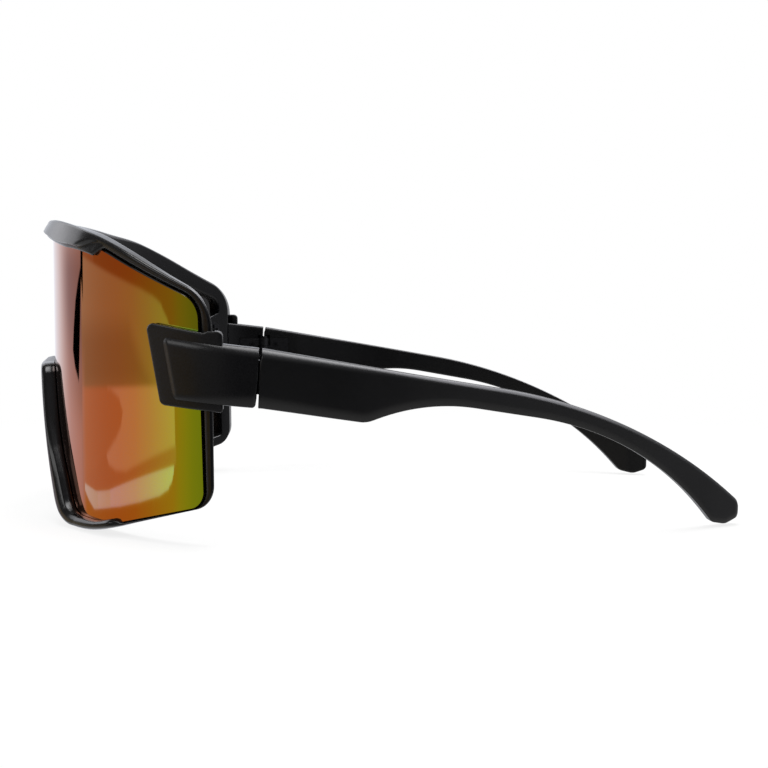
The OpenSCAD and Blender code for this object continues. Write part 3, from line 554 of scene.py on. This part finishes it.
# Outer face in plan, tuck mm inside the arm's: lens circle, then cheek circle, straight, and the bow
def outerX(y, tuck=0.0):
    y = np.asarray(y, float)
    bowed = np.clip(y - temple["bowStart"], 0, temple["bowRadius"])
    bow = halfWidth - temple["bowRadius"] + np.sqrt(temple["bowRadius"] ** 2 - bowed ** 2)
    cheek = cheekX + np.sqrt(np.clip((arm["cheek"] - tuck) ** 2 - (y - cheekY) ** 2, 0, None))
    lensSide = np.sqrt(np.clip((armRadius - tuck) ** 2 - (y - axisY) ** 2, 0, None))
    turnY = axisY - (armRadius - tuck) * math.cos(cheekAngle)
    ahead = np.where(y > cheekY, halfWidth - tuck, np.where(y > turnY, cheek, lensSide))
    return np.where(y > temple["bowStart"], bow - tuck, ahead)


# A plate over an outline in side view: rings run from its middle out to the edge on the inner face
# and back on the outer one. The edges are eased by shares of soft: inset from the outline, and depth
# below the face.
innerEdge = ((0.3, 0.3), (0, 1))
outerEdge = ((0, 1), (0.125, 0.5), (0.5, 0.125), (1, 0))


def plateSolid(outline, innerX, outerFace, soft=0.4, fill=10):
    ahead = unit(np.roll(outline, -1, axis=0) - np.roll(outline, 1, axis=0))
    into = np.stack([-ahead[:, 1], ahead[:, 0]], 1)
    middle = outline.mean(0)
    if ((middle - outline) * into).sum() < 0:
        into = -into
    rings = []
    for k in np.linspace(0.94, 0.0, fill):
        ring = mix(outline + into * soft, middle, k)
        rings.append(np.column_stack([innerX(ring[:, 0]), ring]))
    for inset, depth in innerEdge:
        ring = outline + into * inset * soft
        rings.append(np.column_stack([innerX(ring[:, 0]) + depth * soft, ring]))
    for inset, depth in outerEdge:
        ring = outline + into * inset * soft
        rings.append(np.column_stack([outerFace(ring[:, 0]) - depth * soft, ring]))
    for k in np.linspace(0.0, 0.94, fill)[1:]:
        ring = mix(outline + into * soft, middle, k)
        rings.append(np.column_stack([outerFace(ring[:, 0]), ring]))
    return sweptSolid(np.stack(rings))


# Eight corners of the bar: flat outer face, bevels along its edges, small bevels inside
def barSection(x, thick, top, low, bevel, under):
    x, thick, top, low, bevel, under = np.broadcast_arrays(x, thick, top, low, bevel, under)
    e = 0.3 * bevel
    corners = [(x - thick + e, low), (x - thick, low + e), (x - thick, top - e), (x - thick + e, top),
               (x - 0.8 * bevel, top), (x, top - bevel), (x, low + under), (x - 0.25 * under, low)]
    return np.stack([np.stack(corner, -1) for corner in corners], 1)


# A ring shrunk by a small amount towards its middle, to round off an end
def shrunk(ring, by):
    middle = ring.mean(0)
    half = (ring.max(0) - ring.min(0)) / 2
    scale = 1 - by / np.maximum(half, 0.5)
    scale[1] = 1
    return middle + (ring - middle) * scale


# Arm: bar sections along y between a straight top and a straight lower line, leaning more to the
# front. The front end is a copy moved in and forward by the front bevel. At the joint the sections
# stand closer, because the lower edge turns up there by a quarter round of 1 mm and then by the notch.
def armSolid():
    rear = -temple["jointGap"] / 2
    behind = np.array([1.6, 1.3, 1.1, 0.95, 0.8, 0.65, 0.5, 0.4, 0.34, 0.3, 0.24, 0.17, 0.0])
    y = np.concatenate([np.linspace(-arm["front"], rear - 1.9, 44), rear - behind])
    k = (y + arm["front"]) / (rear + arm["front"])
    top = mix(arm["topShare"] * arm["height"], 0, k)
    low = mix(-arm["lowShare"] * arm["height"], -arm["height"], k)
    turn = np.clip(1 - (rear - arm["notchLong"] - y), 0, 1)
    low = low + 1 - np.sqrt(1 - turn ** 2) + arm["notch"] * np.clip(1 - (rear - y) / arm["notchLong"], 0, 1)
    bevel = temple["bevel"] * mix(0.8, 1, k)
    flat = barSection(0, arm["thick"], top, low, bevel, temple["underBevel"] * mix(0.5, 1, k))
    x, z = flat[..., 0], flat[..., 1]
    lean = (1 - k)[:, None] * arm["lean"] * (top[:, None] - z) / (top - low)[:, None]
    jointLean = k[:, None] * temple["jointLean"] * z / arm["height"]
    rings = np.stack([outerX(y[:, None] + lean) + x, y[:, None] + lean + jointLean, z], -1)
    full = rings[0]
    outside = full[:, 0] > outerX(full[:, 1]) - arm["thick"] / 2
    inset, forward = arm["frontBevel"]
    front = full + np.stack([-inset * outside, -forward + 0 * outside, 0 * outside], -1)
    soft = softened(np.stack([front, mix(front, full, 0.93), mix(full, rings[1], 0.25), *rings[1:]]), edgeCuts)
    soft = np.concatenate([soft[:-1], [soft[-1] + [0, -faceEase, 0]], [shrunk(soft[-1], faceEase)]])
    return sweptSolid(soft)


# Plate: a six-cornered outline with a tab at its rear, and a block that carries the tab in to the arm
def plateSolids():
    rear, front, corner, tabTop = plate["rear"], plate["front"], plate["corner"], plate["tabUp"] * plate["up"]
    (footBack, footUp), (tabFront, tabBack) = plate["foot"], plate["tabStep"]
    corners = [[-front, plate["up"]], [footBack - front, footUp - plate["down"]], [-rear, -plate["down"]],
               [-rear, tabTop], [-rear - tabFront, tabTop], [-rear - tabBack, plate["tabLow"] * plate["up"]]]
    radii = [corner, corner, corner / 2, corner, plate["tabRound"], plate["tabRound"]]
    outline = roundedLoop(corners, radii, [14, 14, 10, 14, 6, 6], [18, 16, 18, 4, 2, 14])
    face = lambda y: outerX(y, arm["proud"])
    under = lambda y: np.sqrt(plateInner ** 2 - (y - axisY) ** 2)
    wall = plate["blockFront"] - lens["setback"]
    block = roundedLoop([[wall, -plate["blockDown"]], [-rear, -plate["down"]], [-rear, tabTop], [wall, tabTop]],
                        [0.1, 0.7, 1.2, 0.1], [3, 10, 10, 3], [2, 18, 2, 18])
    return [plateSolid(outline, under, face), plateSolid(block, lambda y: armInside + 0 * y, face, 0.25, 4)]


# Pocket for the hinge: a round well for the barrels and a shallow bed for one leaf, cut into the bar.
# The fits are the air round barrel and leaf, and the head room is for the screw's head above.
hinge = {"height": 6.8, "drop": 3.4, "barrel": 1.5, "leaf": 7.4, "leafThick": 0.8, "barrelFit": 0.3,
         "leafFit": 0.1, "headRoom": 0.93}


def pocketSolids(side):
    low, high = -hinge["drop"] - hinge["height"], -hinge["drop"]
    turn = np.linspace(0, 2 * math.pi, 65)[:-1]
    wellRadius = hinge["barrel"] + hinge["barrelFit"]
    well = np.stack([armInside + wellRadius * np.cos(turn), wellRadius * np.sin(turn)], 1)
    ends = (low - hinge["barrelFit"], high + hinge["headRoom"])
    rings = np.stack([np.column_stack([well, np.full(64, z)]) for z in ends])
    fit = hinge["leafFit"]
    x = np.array([armInside - 1, armInside + hinge["leafThick"] + fit])
    y = side * np.array([0, hinge["leaf"] + fit])
    square = np.array([[x[0], y[0]], [x[1], y[0]], [x[1], y[1]], [x[0], y[1]]])
    bed = np.stack([np.column_stack([square, np.full(4, z)]) for z in (low - fit, high + fit)])
    return [sweptSolid(rings), sweptSolid(bed)]


# The cut is made once and kept in the mesh
def cutPocket(piece, side, flip):
    for solid in pocketSolids(side):
        cutter = makePiece("cutter", mirrored([solid]) if flip else [solid], piece.data.materials[0], 30)
        modifier = piece.modifiers.new("pocket", "BOOLEAN")
        modifier.operation = "DIFFERENCE"
        modifier.solver = "EXACT"
        modifier.object = cutter
        bpy.context.view_layer.update()
        mesh = bpy.data.meshes.new_from_object(piece.evaluated_get(bpy.context.evaluated_depsgraph_get()))
        piece.modifiers.clear()
        piece.data = mesh
        bpy.data.objects.remove(cutter)
    piece.data.name = piece.name
    piece.data.shade_smooth()
    piece.data.set_sharp_from_angle(angle=math.radians(creaseAngle))


for side in ("left", "right"):
    arms, plates = [armSolid()], plateSolids()
    if side == "right":
        arms, plates = mirrored(arms), mirrored(plates)
    armPiece = makePiece("endpieceArm" + side.capitalize(), arms, satinNylon)
    cutPocket(armPiece, -1, side == "right")
    platePiece = makePiece("endpiecePlate" + side.capitalize(), plates, satinNylon)
    for piece in (armPiece, platePiece):
        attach(piece, "front")
        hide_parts("endpiece_" + side)
print("endpieces made")

# Temples: the bar section carried back along the bow, between an upper and a lower line. Both lines
# are rounded polylines in shares of the length and of the depth to the part's base, and the last
# 1.1 mm of the tip is drawn in along a quarter circle.

baseDepth = -frameCorners[1][1]
topShares = np.array([[0, 0], [0.755, -0.344], [1, -0.878]])
underShares = np.array([[0.202, -0.377], [0.319, -0.268], [0.774, -0.472], [0.932, -0.978], [0.966, -0.997],
                        [1, -0.962]])
topBendShare = 1.094
underBendShares = np.array([0, 0.053, 0.38, 0.635, 0.02, 0.03, 0])


def templeSolid():
    length = temple["length"]
    topLine = roundedLine(topShares * [length, baseDepth], [0, topBendShare * length, 0], [0, 60, 0])
    underCorners = np.concatenate([[[0, -arm["height"]]], underShares * [length, baseDepth]])
    underLine = roundedLine(underCorners, underBendShares * length, [0, 16, 16, 60, 12, 12, 0])
    start = temple["jointGap"] / 2
    tip = temple["tipRound"]
    quarter = np.linspace(0, 1, 7) * math.pi / 2
    y = np.unique(np.concatenate([
        start + np.array([0, 0.2, 0.4, 0.6, 0.8, 1.4]), np.linspace(start, 0.17 * length, 24),
        np.linspace(0.17, 0.3, 30) * length, np.linspace(0.3, 0.93, 64) * length,
        np.linspace(0.93 * length, length - tip, 20), length - tip + tip * np.sin(quarter)]))
    k = y / length
    thick = np.interp(k, [0, 0.09, 0.3, 0.75, 0.95, 1],
                      [arm["thick"], arm["thick"], temple["thin"], temple["thin"], temple["tipThick"],
                       0.8 * temple["tipThick"]])
    notch = temple["topNotch"] * np.clip(1 - (y - start) / temple["notchLong"], 0, 1)
    top = np.interp(y, topLine[:, 0], topLine[:, 1]) - notch
    low = np.interp(y, underLine[:, 0], underLine[:, 1])
    bevel = temple["bevel"] * np.interp(k, [0, 0.25, 1], [1, 0.6, 0.55])
    under = temple["underBevel"] * np.interp(k, [0, 0.25, 1], [1, 0.7, 0.55])
    flat = barSection(outerX(y), thick, top, low, bevel, under)
    lean = np.where(y == y[0], temple["jointLean"], 0)[:, None] * flat[..., 1] / arm["height"]
    soft = softened(np.stack([flat[..., 0], y[:, None] + lean, flat[..., 1]], -1), edgeCuts)
    inset = tip - np.sqrt(tip ** 2 - np.clip(y - (length - tip), 0, tip) ** 2)
    middle = soft.mean(1, keepdims=True)
    half = (soft.max(1) - soft.min(1))[:, None] / 2
    scale = 1 - inset[:, None, None] / np.maximum(half, 0.5)
    scale[..., 1] = 1
    soft = middle + (soft - middle) * scale
    return sweptSolid(np.concatenate([[shrunk(soft[0], faceEase)], [soft[0] + [0, faceEase, 0]], soft[1:]]))


for side in ("left", "right"):
    solids = [templeSolid()]
    piece = makePiece("temple" + side.capitalize(), mirrored(solids) if side == "right" else solids, matteNylon)
    cutPocket(piece, 1, side == "right")
    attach(piece, "temple_" + side)
    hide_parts("temple_" + side)
print("temples made")

# Nosepiece: wings that follow the notch behind the frame and reach back as they spread. Reach and
# spread follow one table of shares, by the share of the way from the bridge to a wing's end.
pad = {"wall": 1.4, "reach": 9.0, "spread": 4.0}
wingTable = [[0, 0.45], [0.4, 0.6], [0.7, 1], [0.92, 0.95], [1, 0.6]]


def nosepieceSolid():
    n = len(backLoop)
    middleAt = n - notchSteps // 2
    wingSteps = notchSteps // 2 + arcSteps[0] + 5 * fineness
    k = np.arange(-wingSteps, wingSteps + 1)
    i = (middleAt + k) % n
    share = np.abs(k) / wingSteps
    wall = pad["wall"]
    reach, lean = pad["reach"] * lookUp(share, wingTable), pad["spread"] * lookUp(share, wingTable)
    front = backRadius - seatFit
    a, b = -0.5 * wall, 0.5 * wall
    one = np.ones(len(k))
    inset = np.stack([a * one, (b + wall) * one, (b + wall) * one, b + 0.4 * lean, b + lean, a + lean,
                      a + 0.3 * lean], 1)
    radius = np.stack([front * one, front * one, (front - wall / 2) * one, front - reach / 2, front - reach,
                       front - reach, front - reach / 2], 1)
    at = backLoop[i][:, None] + inward[i][:, None] * inset[..., None]
    rings = softened(wrapRound(at[..., 0], at[..., 1], radius), [0.2, 0.25])
    first, last = mix(rings[0], rings[0].mean(0), 0.25), mix(rings[-1], rings[-1].mean(0), 0.25)
    return sweptSolid(np.stack([first, *rings, last]))


nosePad = makePiece("nosePad", [nosepieceSolid()], softRubber, 60)
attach(nosePad, "front")
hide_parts("nosepiece")

# Hinge leaves and screws keep their own meshes and only get their steel
for name, node in frame["nodes"].items():
    steel = turnedSteel if "screw" in name else stampedSteel if "hinge" in name else None
    if steel:
        node.data.materials.clear()
        node.data.materials.append(steel)
print("small parts finished")

# Floor: a pale disc that fades into the white surroundings and keeps a faint shadow. Mirror
# reflections pass through it to the studio's own floor. Fade gives the shares of its radius, and
# white how much of the paper gives way to plain white there.
floor = {"radius": 0.26, "drop": 0.0004, "colour": "#f4f4f4", "fade": (0.4, 0.97), "white": (0.82, 1.0)}


def makeFloor():
    turn = np.linspace(0, 2 * math.pi, 97)[:-1]
    rings = np.array([[0.02], [0.1], [0.2], [0.3], [0.45], [0.7], [1.0]]) * floor["radius"]
    points = np.stack([rings * np.cos(turn), rings * np.sin(turn), 0 * rings * turn - floor["drop"]], -1)
    mesh = bpy.data.meshes.new("floor")
    faces = gridFaces(len(rings), 96, False, True)[:, ::-1].tolist() + [list(range(96))]
    mesh.from_pydata(points.reshape(-1, 3).tolist(), [], faces)
    disc = bpy.data.objects.new("floor", mesh)
    bpy.context.scene.collection.objects.link(disc)
    material, tree, out = newMaterial("paperSweep")
    where = addNode(tree, "ShaderNodeTexCoord").outputs["Object"]
    far = addNode(tree, "ShaderNodeVectorMath", {"operation": "LENGTH"}, {"Vector": where})
    start, end = (share * floor["radius"] for share in floor["fade"])
    low, high = floor["white"]
    fade = addNode(tree, "ShaderNodeMapRange", {"interpolation_type": "SMOOTHSTEP", "From Min": start,
                                                "From Max": end, "To Min": low, "To Max": high},
                   {"Value": far.outputs["Value"]})
    rays = addNode(tree, "ShaderNodeLightPath").outputs
    seen = addNode(tree, "ShaderNodeMath", {"operation": "MAXIMUM"},
                   {0: rays["Is Camera Ray"], 1: rays["Is Transmission Ray"]})
    share = addNode(tree, "ShaderNodeMath", {"operation": "MULTIPLY"},
                    {0: fade.outputs["Result"], 1: seen.outputs["Value"]})
    paper = addNode(tree, "ShaderNodeBsdfDiffuse", {"Color": hexColour(floor["colour"])})
    white = addNode(tree, "ShaderNodeEmission", {"Color": (1, 1, 1, 1), "Strength": 1.0})
    clear = addNode(tree, "ShaderNodeBsdfTransparent")
    lit = addNode(tree, "ShaderNodeMixShader",
                  links={0: share.outputs["Value"], 1: paper.outputs["BSDF"], 2: white.outputs["Emission"]})
    whole = addNode(tree, "ShaderNodeMixShader",
                    links={0: rays["Is Glossy Ray"], 1: lit.outputs["Shader"], 2: clear.outputs["BSDF"]})
    tree.links.new(whole.outputs["Shader"], out.inputs["Surface"])
    mesh.materials.append(material)


makeFloor()

# Studio, by direction, for glossy surfaces only; diffuse ones see one plain level. Each light lies
# over those before it. One with steps covers where x, y or the angle up has passed from the first
# number to the second; one with corners is a convex panel, given by its angles in degrees, round
# from the front and up, with soft as the width of its edge.
studio = {"diffuse": 0.5, "dimFront": (0.3, 0.29, 0.28)}
lights = {
    "paleBack": {"light": (0.55, 0.55, 0.57), "steps": [("y", -0.25, 0.25)]},
    "darkSide": {"light": (0.04, 0.04, 0.045), "steps": [("x", 0.9, 0.975)]},
    "ground": {"light": (1.0, 0.99, 0.98), "steps": [("up", -15, -36)]},
    "trim": {"light": (0.46, 0.26, 0.09), "soft": 0.3,
             "corners": [(-34, 2.2), (36, 2.2), (36, -4.3), (-34, -4.3)]},
    "warmFloor": {"light": (0.74, 0.49, 0.12), "soft": 0.2,
                  "corners": [(-34, -4.25), (40, -4.25), (40, -13), (-34, -13)]},
    "leftHigh": {"light": (0.46, 0.43, 0.5), "soft": 2.0,
                 "corners": [(-62, 2.4), (-33, 2.4), (-33, -4.3), (-62, -4.3)]},
    "highWindow": {"light": (2.3, 2.3, 2.4), "soft": 6.0, "corners": [(-80, 3), (-26, 3), (-26, 42), (-80, 42)]},
    "board": {"light": (0.66, 0.64, 0.46), "soft": 0.25,
              "corners": [(-33.6, 0.78), (4.6, -0.5), (11.2, -0.8), (14.5, -1.05), (18.4, -1.8), (19.8, -4.3),
                          (-33.6, -4.35)]},
    "boardShade": {"light": (0.53, 0.48, 0.32), "soft": 1.6,
                   "corners": [(-33.6, -1.9), (-2, -1.9), (10, -4.3), (-33.6, -4.35)]},
    "patch": {"light": (0.84, 0.58, 0.38), "soft": 0.3,
              "corners": [(-33.5, -4.3), (-1.4, -4.3), (21.3, -6.6), (21.1, -7.29), (-7.8, -8.17),
                          (-23.1, -8.21), (-33.5, -7.94)]},
    "sheet": {"light": (1.05, 0.98, 1.0), "soft": 0.3,
              "corners": [(-15, -4.3), (20.6, -4.2), (20.9, -6.56), (-4.2, -7.49), (-10.1, -7.45),
                          (-14.6, -7.22), (-16, -6.9)]},
    "roundShade": {"light": (0.86, 0.6, 0.4), "soft": 0.4,
                   "corners": [(-33.5, -4.3), (-13, -4.3), (-7.8, -4.68), (-5.7, -5.2), (-6.8, -5.77),
                               (-9.8, -6.21), (-15.1, -6.74), (-24.4, -7.42), (-33.5, -7.5)]},
    "leftLow": {"light": (0.82, 0.72, 0.76), "soft": 5.0,
                "corners": [(-68, -1), (-33, -4.4), (-33, -14), (-68, -14)]},
    "strip": {"light": (1.15, 1.58, 2.8), "soft": 0.1,
              "corners": [(-23, -8.4), (20.4, -7.3), (19.2, -7.93), (17.2, -8.24), (13.3, -8.46),
                          (3.3, -8.68), (-8, -8.83), (-23, -8.88)]},
    "stripMiddle": {"light": (1.1, 1.55, 2.1), "soft": 0.1,
                    "corners": [(-25, -8.22), (-14, -8.19), (-14, -8.85), (-25, -8.88)]},
    "stripEnd": {"light": (1.05, 1.5, 1.8), "soft": 0.1,
                 "corners": [(-32.7, -7.9), (-22.5, -8.25), (-22.5, -8.88), (-25.5, -8.88), (-29.5, -8.54),
                             (-32.7, -8.16)]},
    "blackCardTop": {"light": (0.0, 0.0, 0.0), "soft": 0.25,
                     "corners": [(-31.3, 2.4), (-33.2, 2.4), (-33.9, 0.2), (-32.2, -1)]},
    "blackCard": {"light": (0.0, 0.0, 0.0), "soft": 0.25,
                  "corners": [(-31.5, 2.3), (-33.0, 0.5), (-36.2, -0.19), (-39.0, -0.94), (-41.4, -2.08),
                              (-42.4, -2.84), (-40.4, -3.49), (-36.7, -4.06), (-33.0, -4.6), (-32.3, -0.94)]},
    "window": {"light": (0.97, 1.0, 1.08), "steps": [("x", -0.7, -0.9), ("y", 0.12, -0.02)]},
    "overhead": {"light": (5.0, 5.0, 5.2), "steps": [("up", 72, 82)]},
    "slope": {"light": (8.5, 8.5, 9.0), "steps": [("y", 0.1, 0.3), ("up", 30, 48), ("x", 0.5, 0.2)]},
}


# Share of a light in one direction: the least of its soft steps. A panel has a step across each
# edge, by the distance inside it: the edge's normal and offset times the two angles and 1. Steps
# along x, y or up are multiplied.
def shareOf(tree, light, sight):
    edges = [(sight[along], low, high) for along, low, high in light.get("steps", [])]
    if "corners" in light:
        c = np.asarray(light["corners"], float)
        for a, b in zip(c, np.roll(c, -1, axis=0)):
            normal = unit(np.array([a[1] - b[1], b[0] - a[0]]))
            if normal @ (c.mean(0) - a) < 0:
                normal = -normal
            plane = (float(normal[0]), float(normal[1]), -float(normal @ a))
            inside = addNode(tree, "ShaderNodeVectorMath", {"operation": "DOT_PRODUCT", 1: plane},
                             {0: sight["angles"]})
            edges.append((inside.outputs["Value"], -light["soft"] / 2, light["soft"] / 2))
    join = {"operation": "MINIMUM" if "corners" in light else "MULTIPLY"}
    share = None
    for value, low, high in edges:
        step = addNode(tree, "ShaderNodeMapRange",
                       {"interpolation_type": "SMOOTHSTEP", "From Min": low, "From Max": high},
                       {"Value": value}).outputs["Result"]
        if share is not None:
            step = addNode(tree, "ShaderNodeMath", join, {0: share, 1: step}).outputs["Value"]
        share = step
    return share


def makeStudio():
    world = bpy.data.worlds.new("studio")
    bpy.context.scene.world = world
    world.use_nodes = True
    tree = world.node_tree
    tree.nodes.clear()
    out = addNode(tree, "ShaderNodeOutputWorld")
    towards = addNode(tree, "ShaderNodeTexCoord").outputs["Generated"]
    way = addNode(tree, "ShaderNodeSeparateXYZ", links={"Vector": towards}).outputs
    ahead = addNode(tree, "ShaderNodeMath", {"operation": "MULTIPLY", 1: -1.0}, {0: way["Y"]}).outputs["Value"]
    turn = addNode(tree, "ShaderNodeMath", {"operation": "ARCTAN2"}, {0: way["X"], 1: ahead}).outputs["Value"]
    rise = addNode(tree, "ShaderNodeMath", {"operation": "ARCSINE"}, {0: way["Z"]}).outputs["Value"]
    degrees = {"operation": "MULTIPLY", 1: 180 / math.pi}
    round_ = addNode(tree, "ShaderNodeMath", degrees, {0: turn}).outputs["Value"]
    up = addNode(tree, "ShaderNodeMath", degrees, {0: rise}).outputs["Value"]
    angles = addNode(tree, "ShaderNodeCombineXYZ", {"Z": 1.0}, {"X": round_, "Y": up}).outputs["Vector"]
    sight = {"x": way["X"], "y": way["Y"], "up": up, "angles": angles}
    seen = None
    for light in lights.values():
        links = {0: shareOf(tree, light, sight)}
        if seen is not None:
            links[6] = seen
        colours = {"data_type": "RGBA", 6: (*studio["dimFront"], 1.0), 7: (*light["light"], 1.0)}
        seen = addNode(tree, "ShaderNodeMix", colours, links).outputs[2]
    rays = addNode(tree, "ShaderNodeLightPath").outputs
    plain = (*[studio["diffuse"]] * 3, 1.0)
    bare = addNode(tree, "ShaderNodeMath", {"operation": "MAXIMUM"},
                   {0: rays["Is Camera Ray"], 1: rays["Is Transmission Ray"]})
    lit = addNode(tree, "ShaderNodeMix", {"data_type": "RGBA", 6: plain}, {0: rays["Is Glossy Ray"], 7: seen})
    colour = addNode(tree, "ShaderNodeMix", {"data_type": "RGBA", 7: (1.0, 1.0, 1.0, 1.0)},
                     {0: bare.outputs["Value"], 6: lit.outputs[2]})
    surround = addNode(tree, "ShaderNodeBackground", {"Strength": 1.0}, {"Color": colour.outputs[2]})
    tree.links.new(surround.outputs["Background"], out.inputs["Surface"])


makeStudio()

# Lamps: one large softbox above, one smaller from the front, both aimed at the object
lamps = {"overhead": {"at": (0.0, 0.03, 0.75), "size": 0.5, "watts": 6.0},
         "front": {"at": (0.35, -0.6, 0.45), "size": 0.4, "watts": 2.0}}
lampAim = np.array([0, 0, 0.035])
for name, lamp in lamps.items():
    data = bpy.data.lights.new(name, "AREA")
    data.shape = "SQUARE"
    data.size = lamp["size"]
    data.energy = lamp["watts"]
    softbox = bpy.data.objects.new(name, data)
    bpy.context.scene.collection.objects.link(softbox)
    softbox.location = lamp["at"]
    aim = lampAim - np.array(lamp["at"])
    tilt = math.atan2(math.hypot(aim[0], aim[1]), -aim[2])
    softbox.rotation_euler = (tilt, 0, math.atan2(aim[0], -aim[1]) + math.pi)

# Camera: at the photo's angle, beside the left temple and a little above it; its place in mm like
# the object's, its turns in degrees, sensor and lens in mm
camera = {"at": (387.2, 2.99, 15.74), "yaw": 4.278, "pitch": 4.219, "lens": 69.17, "sensor": 36}
data = bpy.data.cameras.new("camera")
data.sensor_width = camera["sensor"]
data.lens = camera["lens"]
view = bpy.data.objects.new("camera", data)
bpy.context.scene.collection.objects.link(view)
view.location = place(camera["at"])
view.rotation_euler = (math.radians(90 - camera["pitch"]), 0, math.radians(90 - camera["yaw"]))
bpy.context.scene.camera = view

bpy.context.scene.view_settings.view_transform = "Standard"
print("stage set")
